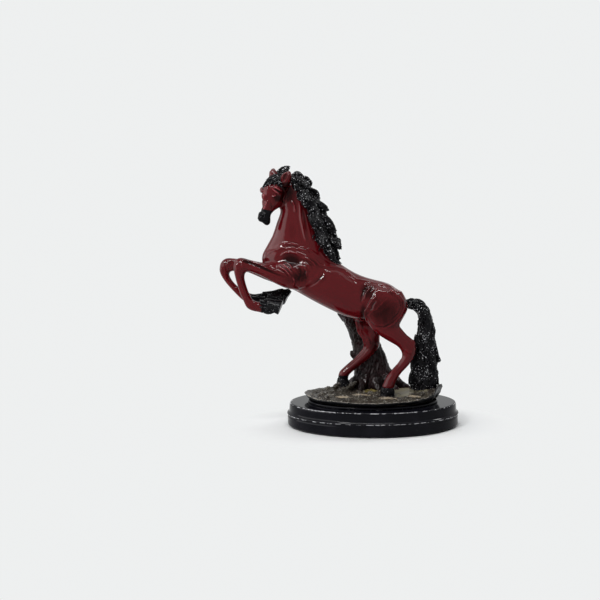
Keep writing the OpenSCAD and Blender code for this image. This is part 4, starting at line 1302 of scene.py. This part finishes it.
locks("mane", skin_loss=2.2, gap=3.7, heading=mane_falls, steps=7, stride=1.55, swing=1.05, lift=(-0.6, 1.0),
      seed=11, over=("body", "head"), outline=MANE_OUTLINE, tips=at_depths(MANE_TIPS, MANE_TIP_DEPTHS),
      wisps=at_depths(MANE_WISPS, [MANE_WISP_DEPTH] * len(MANE_WISPS)))

# %% [markdown]
# ## The tail
# It springs from the dock, arches over and falls to the ground in long wavy locks. The way
# that they fall is read from a line drawn down its middle.

# %% Comb the tail
TAIL_LINE = np.array([spot(*at) for at in [
    (402, 302), (412, 303), (421, 307), (427, 317), (428, 332), (427, 347), (426, 362), (425, 378), (425, 392)]])
TAIL_TIPS = [
    [(430, 343), (433, 350), (436.6, 355), (440.6, 361)], [(429, 346), (432, 353), (435.6, 358), (440, 362)],
    [(428, 349), (430, 355), (433.6, 360), (438.6, 362.4)], [(431, 341), (434.6, 347), (436.6, 353), (439.4, 358.6)],
    [(415, 345), (414, 353), (412.6, 361), (411, 369)], [(431, 362), (433.6, 370), (436.6, 377), (438.4, 386)],
    [(420, 313), (423, 322), (421, 331), (418, 338)], [(416, 335), (415.4, 344), (415, 352), (413.6, 360)],
    [(416, 362), (413, 370), (410.6, 377), (409, 385)], [(417, 366), (414.6, 374), (412, 381), (411.6, 388)],
    [(430, 366), (433, 374), (435, 381), (435.4, 389)], [(426, 352), (431, 362), (434, 372), (437.4, 381)],
]
TAIL_TIP_DEPTHS = [2, 4, 0, 3, -1, 2, -2, -3, 0, -3, 0, 4]


def tail_falls(at):
    runs = np.diff(TAIL_LINE, axis=0)
    middles = (TAIL_LINE[1:] + TAIL_LINE[:-1]) / 2
    nearest = np.argmin(np.linalg.norm(at[:, None] - middles[None], axis=2), axis=1)
    return unit(runs[nearest])


locks("tail", skin_loss=2.0, gap=4.1, heading=tail_falls, steps=10, stride=1.9, swing=0.75, lift=(-0.6, 0.7),
      seed=23, tips=at_depths(TAIL_TIPS, TAIL_TIP_DEPTHS))

# %% [markdown]
# ## The forelock
# It comes forward between the ears and lies over the forehead to a point beside the far eye.
# One tuft stands up behind it, as if the wind caught it.

# %% Comb the forelock
FORELOCK_PITCH = 0.36
FORELOCK_MARGIN = 7
FORELOCK_LOSS = 1.6
TUFT_DEPTHS = (-2.6, -0.8, 1.0, 2.8)
FORELOCK_LINES = [
    [(-4, 1, 4), (-10, 2, 7.5), (-17, 3, 6), (-22, 5, 1.5), (-25, 8.5, -3.5)],
    [(-4, 3, 4), (-10, 5, 7), (-17, 6.5, 4), (-21, 8, -1), (-24, 9.5, -5)],
    [(-3, 5, 3), (-9, 7.5, 6), (-15, 8.5, 3), (-19, 9.5, -1.5), (-21, 10, -5)],
    [(-4, -1, 4), (-11, -1, 8), (-18, 0, 5.5), (-22.4, 2, 1), (-24.6, 4, -3)],
    [(-4, -3, 4), (-10, -4, 7.4), (-16, -4, 5.5), (-20.6, -2.6, 2), (-23, 0, -1.5)],
    [(-3, -4.6, 3.6), (-8, -6, 6.6), (-13, -6, 5.4), (-17, -5.6, 3), (-19.6, -4, 0.6)],
    [(-3, 0, 5), (-8, 1, 9), (-14, 3, 9), (-19, 6, 5.5), (-22.5, 9.5, 0)],
    [(-2, -2, 5), (-7, -2, 9), (-12, -1, 9.4), (-17, 1.5, 7.6), (-21.6, 4, 4)],
    [(-3, 4, 5), (-8, 6, 8.4), (-13, 8.4, 7.4), (-16.5, 10.4, 3), (-18, 11.6, -1.6)],
    [(-3, -5, 4), (-7, -7, 7.6), (-11, -7.6, 7), (-14.6, -7.6, 4.6), (-16.6, -7.4, 2.4)],
]
TUFT_LINES = [
    [(280, 177), (279.6, 172), (281.6, 168.6), (285, 166.6), (289.4, 166)],
    [(281, 177), (280.6, 172.6), (283, 169.4), (286, 167.6), (290, 167)],
    [(282, 177), (282, 173), (284.4, 170), (287, 168.6), (289.6, 168.4)],
    [(283.6, 178), (283.6, 174), (285.4, 171.4), (287.4, 170), (289, 169.6)],
    [(279, 178), (278.6, 174), (279.4, 170.6), (282, 167.8), (286, 166)],
    [(277, 178), (277, 174.6), (277.8, 172), (279.6, 169.6), (282.4, 168)],
]


def forelock():
    random = np.random.default_rng(31)
    clay = box_of("forelock", FORELOCK_MARGIN, FORELOCK_PITCH)
    clay.dist += FORELOCK_LOSS
    guide = box_of("forelock", FORELOCK_MARGIN, FORELOCK_PITCH, filled=False)
    guide.dist[:] = guide.casting("head")
    cover = guide.skin("forehead").points
    at = in_head(cover)
    cover = cover[(at[:, 2] > 3.4) & (at[:, 0] < -3) & (np.abs(at[:, 1]) < 8.5)]
    sweep = HEAD_AXES @ np.array([-0.8, 0.22, -0.42])
    roots = scatter(cover, 2.4, random)
    paths, outs = comb(guide, roots, steady(sweep), steps=5, stride=1.15, swing=0.5,
                       lift=(0.2, 0.8), random=random)
    for path, out in zip(paths, outs):
        spin(clay, path, out, thick=0.6, strands=3,
             twist=random.uniform(-4, 4), phase=random.uniform(0, ONE_TURN), blend=0.1)
    for line in FORELOCK_LINES:
        for shift in range(2):
            path = smooth_line(from_head(line), 14) + random.normal(0, 0.75, 3)
            out = guide.slope(path)
            path -= np.clip(guide.sample(path) - 0.4 - 0.9 * shift, -3, 2.4)[:, None] * out
            path += (0.5 * np.sin(np.arange(14) * 0.9 + random.uniform(0, 6)))[:, None] * np.array([0.3, 1, 0])
            spin(clay, path, out, thick=random.uniform(0.6, 0.85), strands=2,
                 twist=random.uniform(-5, 5), phase=random.uniform(0, ONE_TURN), blend=0.1)
    for line in TUFT_LINES:
        for depth in TUFT_DEPTHS:
            path = smooth_line([spot(u, v, depth) for u, v in line], 14) + random.normal(0, 0.25, 3)
            spin(clay, path, guide.slope(path), thick=0.72, strands=3,
                 twist=random.uniform(-5, 5), phase=random.uniform(0, ONE_TURN), blend=0.2)
    cast_hair(clay, "forelock_locks", "forelock")


forelock()

# %% [markdown]
# ## Eyes
# Each eye is a glossy bead: a dark globe with a cornea that stands a little proud, so one
# small light shows in it. Only a slit of it shows between the lids. The globe is turned round
# the line of sight like wood on a lathe, which puts pupil and iris where they belong.

# %% Turn the eyes
EYE_RADIUS = 2.9
CORNEA = 0.32
IRIS_EDGE = 0.62
PUPIL_EDGE = 0.3


def eye_glass():
    f = Finish("eye_glass")
    ring = f.mark("black") + (f.grain(0.4, 2) - 0.5) * 0.1
    iris = f.colours(f.grain(0.25, 3, (1, 1, 0.3)), (0.05, 0.016, 0.008), (0.014, 0.005, 0.004))
    base = f.colours(f.step(ring, PUPIL_EDGE - 0.03, PUPIL_EDGE + 0.03), (0.002, 0.002, 0.002), iris)
    base = f.colours(f.step(ring, IRIS_EDGE - 0.04, IRIS_EDGE + 0.06), base, (0.012, 0.004, 0.004))
    return f.coat(base_color=base, roughness=0.12, coat_weight=1.0, coat_roughness=0.02,
                  coat_ior=1.4, specular_ior_level=0.1, normal=f.bump(f.grain(0.5, 1), 0.01))


def turn_eye(side, glass, rings=28, spokes=40):
    look = unit(HEAD_AXES @ np.array([-0.42, -1 if side == "left" else 1, 0.05]))
    across = unit(np.cross(look, (0, 0, 1)))
    up = np.cross(across, look)
    points, marks = [], []
    for k in range(1, rings):
        angle = math.pi * k / rings
        bulge = CORNEA * math.exp(-(angle / 0.5) ** 2)
        for j in range(spokes):
            spoke = 2 * math.pi * j / spokes
            way = math.cos(angle) * look + math.sin(angle) * (math.cos(spoke) * across + math.sin(spoke) * up)
            points.append(EYES[side] + (EYE_RADIUS + bulge) * way)
            marks.append(angle)
    front = len(points)
    points += [EYES[side] + (EYE_RADIUS + CORNEA) * look, EYES[side] - EYE_RADIUS * look]
    marks += [0, math.pi]
    faces = [tuple(row * spokes + (j + step) % spokes for row, step in ((k, 0), (k + 1, 0), (k + 1, 1), (k, 1)))
             for k in range(rings - 2) for j in range(spokes)]
    last = (rings - 2) * spokes
    faces += [(front, j, (j + 1) % spokes) for j in range(spokes)]
    faces += [(front + 1, last + (j + 1) % spokes, last + j) for j in range(spokes)]
    cast_mesh("eyeball_" + side, points, faces, glass, "eye_" + side, {"black": marks})


def cast_mesh(name, points, faces, material, node, marks):
    """Makes a piece from points in millimetres and faces, in place of its casting."""
    mesh = bpy.data.meshes.new(name)
    mesh.from_pydata([tuple(MM * c for c in p) for p in points], [], faces)
    finish_piece(mesh, material, [node], marks)


EYE_GLASS = eye_glass()
for side in ("left", "right"):
    turn_eye(side, EYE_GLASS)

# %% [markdown]
# ## Hooves
# A hoof grows down from the coronet, so it has rings like a fingernail, and short feather
# hair hangs over its top. The casting gives its block, the comb lays the feathers.

# %% Cast the hooves
HOOF_MARGIN = 3
RING_HEIGHT = 0.11
RINGS = 3.6
FEATHER_SHIFTS = (-5, -2.5, 0, 2.5)
HOOF_CUTS = {
    "front_hoof_right": [(280, 280), (285, 286), (294.6, 289.8), (289, 294.4), (285.4, 299), (283, 305), (276, 313)],
    "front_hoof_left": [(272, 280), (286, 297), (284.4, 304), (280.6, 314), (277, 311.8), (262, 318)],
}
HOOF_FILLS = {
    "front_hoof_left": [([(266, 304), (272, 305), (279, 307)], 4.6), ([(266, 309), (273, 310), (280, 311.6)], 2.8)],
    "front_hoof_right": [([(262, 294.6), (272, 294), (282, 291)], 2.6), ([(276, 297), (282, 294), (288, 291)], 2.4)],
}
FEATHERS = {
    "front_hoof_right": [[(248, 292), (252, 296), (257, 297.6)], [(255, 295), (260, 293), (266, 292.4)]],
    "front_hoof_left": [[(250, 301), (256, 304), (263, 305)], [(252, 303.4), (258, 307), (266, 308)],
                        [(254, 299), (261, 302.4), (267, 306)], [(257, 298), (263, 300), (269, 303)]],
}


def hoof(name, leg):
    """One hoof: its block, short feather hair from the pastern, and growth rings."""
    random = np.random.default_rng(len(name))
    middle = sum(corners(name)) / 2
    clay = box_of(name, HOOF_MARGIN, HAIR_PITCH)
    limb = clay.casting(leg)
    inside = np.argwhere(limb < -0.3)
    top = (inside.mean(axis=0) + clay.first) * clay.pitch
    axis = unit(middle - top)
    guide = box_of(name, HOOF_MARGIN, HAIR_PITCH, filled=False)
    guide.dist[:] = np.minimum(clay.dist, limb)
    skin = clay.skin("roots").points
    reach = (skin - middle) @ axis
    upper = skin[(reach < np.percentile(reach, 30)) & (clay.sample(skin, limb) < 2.0)]
    roots = scatter(upper, 4.5 if name in HOOF_CUTS else 1.5, random) - 1.2 * axis
    paths, outs = comb(guide, roots, steady(axis), steps=6, stride=0.85, swing=0.3,
                       lift=(-0.1, 0.25), random=random)
    for path, out in zip(paths, outs):
        spin(clay, path, out, thick=0.5, blend=0.4)
    for line, radius in HOOF_FILLS.get(name, ()):
        path = smooth_line([spot(u, v, middle[1]) for u, v in line], 9)
        clay.rods(path, np.full(9, radius), 1.5)
    if name in HOOF_CUTS:
        trim(clay, HOOF_CUTS[name], 0.3)
    for line in FEATHERS.get(name, ()):
        for shift in FEATHER_SHIFTS:
            path = smooth_line([spot(u, v, middle[1] + shift) for u, v in line], 9) + random.normal(0, 0.35, 3)
            path -= np.clip(guide.sample(path) - 0.2, -4, 1.5)[:, None] * guide.slope(path)
            spin(clay, path, guide.slope(path), thick=random.uniform(0.6, 0.85), strands=2,
                 twist=random.uniform(-3, 3), blend=0.3)
    sculpt = clay.skin(name + "_cast")
    sculpt.relax(3, 0.5)
    along = (sculpt.points - middle) @ axis
    side = 1 - np.abs(sculpt.normals @ axis)
    sculpt.push(RING_HEIGHT * np.sin(along * RINGS) * np.clip(side * 2 - 0.6, 0, 1))
    ridge = sculpt.hollows(6, 0.3)
    sculpt.cast(HOOF_BLACK, "horse_black", name, ridge=ridge)


for name in ("front_hoof_left", "front_hoof_right", "hind_hoof_left", "hind_hoof_right"):
    hoof(name, name.replace("front_hoof", "foreleg").replace("hind_hoof", "hind_leg"))

# %% [markdown]
# ## Bark
# The dead trunk is dark brown resin with a wet look. Its ridges run down and fan out along
# the roots, so the comb lays them with the fall of the surface. A fine noise roughens them.


# %% Mix the bark
def bark():
    f = Finish("bark")
    blotch = f.grain(12, 3)
    speck = f.grain(0.9, 3)
    streak = f.grain(1.6, 3, (1, 1, 7))
    # The hollows are darker, a wash that is also painted shade, and the ridges are lighter along streaks: worn bark
    # and a painted highlight both.
    hollow = f.step(f.mark("wash_and_shade") + (speck - 0.5) * 0.3, 0.05, 0.8)
    wear_and_highlight = f.step(f.mark("ridge") + (streak - 0.5) * 0.7, 0.25, 0.95)
    base = f.colours(f.step(blotch, 0.35, 0.7), (0.0095, 0.0048, 0.0042), (0.02, 0.0055, 0.007))
    base = f.colours(wear_and_highlight * 0.5, base, (0.06, 0.036, 0.032))
    base = f.colours(hollow * 0.85, base, (0.006, 0.004, 0.004))
    return f.coat(base_color=base, roughness=0.42 - wear_and_highlight * 0.08 + speck * 0.15, specular_ior_level=0.03,
                  coat_weight=0.9 - hollow * 0.6, coat_roughness=0.08, coat_ior=1.24,
                  normal=f.bump(speck * 0.6 + streak * 0.4, 0.22))


BARK = bark()

# %% [markdown]
# Nothing weathered is smooth. Lumps of noise, large ones first and then small ones, push the
# surface in and out. A brush of noise in the finish alone would leave the outline straight.


# %% Weather a surface
def weather(sculpt, rows, amount=1.0):
    """Pushes the surface in and out by noise, in rows of lump size and height in millimetres."""
    total = np.zeros(len(sculpt.points))
    for size, height in rows:
        total += height * np.array([noise.fractal(Vector(p), 0.8, 2.0, 3) for p in sculpt.points / size])
    sculpt.push(total * amount)


def tree():
    random = np.random.default_rng(41)
    clay = box_of("tree_trunk", 3, PITCH)
    guide = box_of("tree_trunk", 3, PITCH)
    roots = scatter(clay.skin("roots").points, 4.6, random)
    paths, outs = comb(guide, roots, steady((0.0, 0.0, -1.0)), steps=9, stride=1.7, swing=0.42,
                       lift=(-0.35, 0.15), random=random)
    for path, out in zip(paths, outs):
        spin(clay, path, out, thick=random.uniform(0.6, 1.15), blend=0.7)
    sculpt = clay.skin("bark_trunk")
    sculpt.relax(2, 0.5)
    weather(sculpt, [(7, 0.5), (1.8, 0.25)])
    ridge = sculpt.hollows(8, 0.5)
    sculpt.cast(BARK, "bark", "tree_trunk", ridge=ridge)


tree()

# %% [markdown]
# ## The rock slab
# A thin slab of painted rock, strewn with chips and straw. Its top is a dark olive brown that
# was dry brushed with a pale grey, so only what stands up is light. The edge below the rim is
# gloss black. Two smooth patches, one mossy and one sandy, lie at the hooves.


# %% Mix the rock
def rock(name, pale, dry):
    f = Finish(name)
    blotch = f.grain(9, 3)
    speck = f.grain(0.8, 4)
    # Darker in the hollows: a wash that is also painted shade.
    low = f.step(f.mark("wash_and_shade") + (speck - 0.5) * 0.5, 0.0, 0.7)
    high = f.step(f.mark("ridge") + (speck - 0.5) * 0.8 + (blotch - 0.5) * 1.1, 0.3, 0.95)
    base = f.colours(f.step(blotch, 0.35, 0.65), (0.020, 0.015, 0.011), (0.050, 0.042, 0.030))
    base = f.colours(high * dry, base, pale)
    base = f.colours(low * 0.8, base, (0.022, 0.016, 0.012))
    moss = f.step(f.mark("moss") + (blotch - 0.5) * 0.5, 0.3, 0.8)
    base = f.colours(moss * 0.8, base, (0.27, 0.215, 0.062))
    sand = f.step(f.mark("sand") + (speck - 0.5) * 0.4, 0.3, 0.8)
    base = f.colours(sand * 0.75, base, (0.25, 0.225, 0.145))
    base = f.colours(f.step(f.mark("black") + (speck - 0.5) * 0.3, 0.35, 0.65), base, BLACK)
    return f.coat(base_color=base, roughness=0.55 - f.mark("black") * 0.3 + speck * 0.2,
                  specular_ior_level=0.05, coat_weight=0.6, coat_roughness=0.1, coat_ior=1.24,
                  normal=f.bump(speck, 0.3))


ROCK = rock("rock", (0.36, 0.33, 0.28), 0.9)
DARK_ROCK = rock("dark_rock", (0.16, 0.15, 0.14), 0.6)

# %% [markdown]
# The slab's casting is strewn with short crooked chips and crumbs, then weathered, and sand is
# banked up round the foot of the tail. Moss and sand are laid by the photograph's pixels, and
# few chips lie on the sand. The rim is found by its distance from the middle of the oval.


# %% Strew and cast the slab
SLAB_PITCH = 0.55
MOSS = [(374, 388, 6, 4, 0, 1.0), (366, 391, 3, 2, 0, 0.6)]
SAND = [(404, 391, 13, 6.5, -12, 1.0), (424, 390, 6, 3, -10, 0.7), (345, 396, 5, 2, 0, 0.35)]
CHIPS = [(3.4, 3, 1.2, (0.3, 0.7), 0.35), (5.0, 4, 1.6, (0.35, 0.6), 0.7)]
DRIFT_HEIGHT = 5.0
DRIFT_AT = (54, -3)
DRIFT_REACH = (17, 15)
STREWN_TO = 0.88
RIGHT_END_MM = 50


def drift(points):
    """How far sand has banked up round the tail's foot, in millimetres."""
    away = ((points[:, :2] - DRIFT_AT) / DRIFT_REACH) ** 2
    return DRIFT_HEIGHT * np.exp(-(away[:, 0] + away[:, 1]) ** 1.2)


def out_on_slab(points):
    """Distance from the slab's middle, 1 at its rim."""
    low, high = corners("ground_slab")
    return np.linalg.norm((points - (low + high) / 2)[:, :2] / ((high - low) / 2)[:2], axis=1)


def slab():
    random = np.random.default_rng(53)
    clay = box_of("ground_slab", 5, SLAB_PITCH)
    guide = box_of("ground_slab", 5, SLAB_PITCH)
    skin = clay.skin("roots")
    top = skin.points[skin.normals[:, 2] > 0.75]
    calm = np.clip(swell(pixels(top), SAND) * 1.6, 0, 1)
    top = top[(random.random(len(top)) > calm) & (out_on_slab(top) < STREWN_TO)]
    for gap, steps, stride, thick, lift in CHIPS:
        roots = scatter(top, gap, random)
        turn = random.uniform(0, 2 * math.pi, len(roots))
        way = np.stack([np.cos(turn), np.sin(turn), 0 * turn], 1)
        paths, outs = comb(guide, roots, lambda at: way, steps, stride, swing=0.25,
                           lift=(0.1, lift), random=random)
        for path, out in zip(paths, outs):
            spin(clay, path, out, thick=random.uniform(*thick), blend=0.3)
    for at in scatter(top, 3.6, random):
        size = random.uniform(0.5, 1.25)
        clay.rods(np.array([at, at + random.normal(0, 0.5, 3) * (1, 1, 0.2)]), [size, 0.7 * size], 0.5)
    sculpt = clay.skin("rock_slab")
    sculpt.relax(1, 0.5)
    up = np.clip(sculpt.normals[:, 2] * 2, 0, 1)
    weather(sculpt, [(11, 0.5), (3, 0.3), (1.2, 0.15)], 0.35 + 0.65 * up)
    bottom = corners("ground_slab")[0][2]
    sculpt.points[:, 2] += drift(sculpt.points) * np.clip((sculpt.points[:, 2] - bottom - 1) / 3, 0, 1)
    sculpt.turn()
    reach = out_on_slab(sculpt.points)
    steep = np.clip((0.6 + 0.3 * (sculpt.points[:, 0] > 52) - sculpt.normals[:, 2]) * 5, 0, 1)
    bank = np.clip((reach - 0.95) * 60, 0, 1) * (sculpt.points[:, 0] > RIGHT_END_MM)
    sculpt.black = np.maximum(steep * np.clip((reach - 0.88) * 30, 0, 1), bank)
    ridge = sculpt.hollows(5, 0.4)
    # A pale line along the rim's shoulder joins the ridges: a painted highlight.
    edge = np.clip(1 - np.abs(sculpt.normals[:, 2] - 0.74) * 5, 0, 1) * (reach > 0.9)
    ridge = np.clip(ridge + 0.8 * edge, 0, 1) * (1 - bank)
    at = pixels(sculpt.points)
    sculpt.cast(ROCK, "rock", "ground_slab", ridge=ridge, moss=swell(at, MOSS), sand=swell(at, SAND))


slab()

# %% [markdown]
# The rubble is the slab's rock, broken smaller, and the stone under the hoof is a darker one.
# That stone is a heap of lumps in the photograph, so short thick rods are pressed into it.


# %% Break the stones
STONE_PITCH = 0.5
ROCK_LUMPS = [
    (336.6, 386.6, 3.0), (340, 383.6, 2.6), (345, 387.6, 3.4), (350.4, 386.4, 3.2), (353.6, 383, 2.6),
    (337.6, 380, 1.8),
]


def stones(name, node, material, lump_sizes, lumps=()):
    clay = box_of(node, 4, STONE_PITCH)
    middle = (clay.first + clay.count / 2)[1] * clay.pitch
    for u, v, radius in lumps:
        at = spot(u, v, middle - 3)
        clay.rods(np.array([at, at + (0.5, 3.0, -0.6)]), [radius, radius], 1.0)
    sculpt = clay.skin(name)
    sculpt.relax(1, 0.5)
    weather(sculpt, lump_sizes)
    sculpt.points[:, 2] += drift(sculpt.points)
    ridge = sculpt.hollows(4, 0.3)
    sculpt.cast(material, "rock", node, ridge=ridge, moss=0, sand=0)


stones("rubble", "stones", ROCK, [(2.5, 0.6), (1.0, 0.2)])
stones("hoof_stone", "hoof_rock", DARK_ROCK, [(4, 1.1), (1.5, 0.4)], ROCK_LUMPS)

# %% [markdown]
# ## Straw
# Four bits of straw and leaf lie on the slab. Each is a small sheaf, because a single stalk
# would look like wire: every facet of its casting gets bent stalks of unequal length.


# %% Lay the straw
STRAW_PITCH = 0.35
STALKS = 4


def straw_finish():
    f = Finish("straw")
    streak = f.grain(0.8, 3)
    base = f.colours(f.step(streak, 0.3, 0.7), (0.09, 0.058, 0.028), (0.32, 0.255, 0.155))
    # Darker in the hollows: painted shade.
    base = f.colours(f.mark("wash_and_shade") * 0.8, base, (0.05, 0.03, 0.018))
    return f.coat(base_color=base, roughness=0.5 + streak * 0.2, coat_weight=0.2, coat_roughness=0.2,
                  normal=f.bump(streak, 0.1))


def islands(name):
    """The separate facets of a casting, as sets of points in millimetres."""
    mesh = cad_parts[name].data
    group = list(range(len(mesh.vertices)))

    def top(k):
        while group[k] != k:
            k = group[k]
        return k

    for edge in mesh.edges:
        a, b = (top(k) for k in edge.vertices)
        group[max(a, b)] = min(a, b)
    found = {}
    for k, vertex in enumerate(mesh.vertices):
        found.setdefault(top(k), []).append(np.array(vertex.co) / MM)
    return [np.array(points) for points in found.values()]


def straw():
    random = np.random.default_rng(61)
    clay = box_of("twigs", 2.5, STRAW_PITCH, filled=False)
    for points in islands("twigs"):
        middle = points.mean(axis=0)
        run = np.linalg.svd(points - middle)[2][0] * (1, 1, 0)
        run = run / np.linalg.norm(run)     # an upright facet has no heading, so its own is a stray one
        reach = np.abs((points - middle) @ run).max()
        across = np.array([-run[1], run[0], 0])
        for k in range(STALKS):
            bend = random.normal(0, 0.8)
            slip = (k - 1.5) * 0.6 + random.normal(0, 0.25)
            ends = (random.uniform(-1, -0.6) * reach, random.uniform(0.6, 1) * reach)
            path = smooth_line([middle + run * t + across * (slip + bend * math.sin(2.5 * t / reach))
                                + (0, 0, 0.1 + 0.35 * (k % 2)) for t in np.linspace(*ends, 5)], 9)
            spin(clay, path, np.tile((0, 0, 1.0), (9, 1)), thick=random.uniform(0.26, 0.42), blend=0.1)
    sculpt = clay.skin("straw_bits")
    sculpt.relax(1, 0.3)
    sculpt.points[:, 2] += drift(sculpt.points)
    ridge = sculpt.hollows(4, 0.3)
    sculpt.cast(straw_finish(), "straw", "twigs", ridge=ridge)


straw()

# %% [markdown]
# ## The plinth
# An oval of two tiers with a bead between them, dipped in gloss black. A moulding is one
# outline carried round an oval, so it is built as a lathe would cut it. Hand dipping leaves
# it slightly uneven, and handling leaves scratches. A broken pale line along the bead and the
# rims is a painted highlight.


# %% Mix the plinth's black
def plinth_black():
    f = Finish("plinth_black")
    haze = f.grain(16, 3)
    speck = f.grain(0.6, 3)
    scratch = f.step(f.grain(0.9, 2, (14, 14, 1)), 0.63, 0.7) + f.step(f.grain(1.1, 2, (2, 9, 5)), 0.66, 0.72)
    # A broken pale line where the ridges are marked: a painted highlight.
    wear_and_highlight = f.step(f.mark("ridge") + (f.grain(3.2, 4) - 0.5) * 2.2 + (f.grain(14, 2) - 0.5) * 1.2, 0.78, 1.02)
    base = f.colours(f.step(haze, 0.4, 0.7), (0.003, 0.003, 0.0052), (0.006, 0.0058, 0.009))
    base = f.colours(wear_and_highlight * 0.85, base, (0.50, 0.50, 0.52))
    base = f.colours(f.step(speck, 0.72, 0.8) * 0.35, base, (0.22, 0.22, 0.21))
    return f.coat(base_color=base, roughness=0.3 + haze * 0.16 + scratch * 0.2, specular_ior_level=0.0,
                  coat_weight=0.95, coat_roughness=0.08, coat_ior=1.18,
                  normal=f.bump(scratch * -0.5 + haze * 2.0 + speck * 0.15, 0.05))


PLINTH_BLACK = plinth_black()

# %% [markdown]
# Each outline runs from the underside up and over to the middle of the top, in shares of the
# half length and of the height. Sponging it rounds its edges. A slow wobble of a sixth of a
# millimetre makes the dipped surface uneven, and the lines of painted highlight are marked
# where they run.


# %% Turn the oval mouldings
WOBBLE = 0.16


def moulding(node, outline, ridges, step=0.35, around=432, soft=3):
    """Carries an outline, in shares of the half length and the height, round an oval."""
    low, high = corners(node)
    half = (high - low) / 2
    line = np.array(outline, float) * (half[0], high[2] - low[2])
    lengths = np.concatenate([[0], np.cumsum(np.linalg.norm(np.diff(line, axis=0), axis=1))])
    at = np.linspace(0, lengths[-1], max(int(lengths[-1] / step), 2))
    line = np.stack([np.interp(at, lengths, line[:, k]) for k in range(2)], 1)
    for _ in range(soft):
        line[1:-1] = 0.5 * line[1:-1] + 0.25 * (line[:-2] + line[2:])
    keep = (line[:, 0] > 0.9 * half[0]) | (np.arange(len(line)) % 9 == 0)
    keep[[0, -1]] = True
    line = line[keep]
    turn = np.linspace(0, 2 * math.pi, around, endpoint=False)
    points, marks = [], []
    for reach, rise in line:
        share = reach / half[0]
        # Where the pale line of painted highlight runs, near the outer edge.
        highlight_line = max(math.exp(-((rise / (high[2] - low[2]) - r) / 0.022) ** 2) for r in ridges) * (share > 0.93)
        for t in turn:
            wobble = WOBBLE * noise.noise(Vector((3 * math.cos(t), 3 * math.sin(t), rise / 7))) * (share > 0.9)
            points.append((share * (half[0] + wobble - WOBBLE) * math.cos(t),
                           share * (half[1] + wobble - WOBBLE) * math.sin(t), low[2] + rise))
            marks.append(highlight_line)
    count = len(line)
    faces = [tuple(row * around + (j + step) % around for row, step in ((k, 0), (k, 1), (k + 1, 1), (k + 1, 0)))
             for k in range(count - 1) for j in range(around)]
    faces += [tuple(range(around))[::-1], tuple((count - 1) * around + j for j in range(around))]
    cast_mesh(node + "_moulding", points, faces, PLINTH_BLACK, node, {"ridge": marks})


PLINTH_OUTLINE = [
    (0.05, 0), (0.972, 0), (0.986, 0.02), (0.991, 0.06), (0.9925, 0.2), (0.992, 0.40), (0.986, 0.435), (0.985, 0.455),
    (0.994, 0.475), (1, 0.505), (1, 0.54), (0.995, 0.565), (0.983, 0.585), (0.977, 0.605), (0.974, 0.64),
    (0.971, 0.8), (0.969, 0.93), (0.966, 0.97), (0.960, 0.992), (0.952, 1), (0.05, 1),
]
COLLAR_OUTLINE = [(0.05, 0), (0.985, 0), (0.998, 0.12), (1, 0.3), (0.998, 0.8), (0.985, 1), (0.05, 1)]
moulding("plinth", PLINTH_OUTLINE, (0.52, 0.975))
moulding("collar", COLLAR_OUTLINE, (0.1,), step=0.25, soft=1)

# %% [markdown]
# ## What is hidden
# The felt, the screws and the wires keep their castings' shapes, which are right, and get
# real finishes: they show in a view from below, or when the figure is taken apart.


# %% Finish the felt, the screws and the wires
def felt():
    f = Finish("felt")
    fibre = f.grain(0.35, 4)
    lay = f.grain(5, 3)
    base = f.colours(f.step(fibre, 0.35, 0.7), (0.012, 0.012, 0.014), (0.045, 0.045, 0.05))
    base = f.colours(f.step(lay, 0.5, 0.75) * 0.4, base, (0.06, 0.058, 0.056))
    return f.coat(base_color=base, roughness=0.95, sheen_weight=0.4, normal=f.bump(fibre, 0.25))


def zinc():
    f = Finish("zinc")
    brush = f.grain(0.5, 3, (6, 6, 1))
    haze = f.grain(3, 3)
    base = f.colours(f.step(haze, 0.4, 0.7), (0.58, 0.58, 0.57), (0.68, 0.69, 0.70))
    return f.coat(base_color=base, metallic=1.0, roughness=0.24 + brush * 0.2 + haze * 0.1,
                  normal=f.bump(brush, 0.03))


FELT = felt()
ZINC = zinc()
for node, material in (("felt_pad", FELT), ("base_screws", ZINC), ("leg_wires", ZINC)):
    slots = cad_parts[node].data.materials
    for k in range(len(slots)):
        slots[k] = material
    print(node, "gets", material.name)
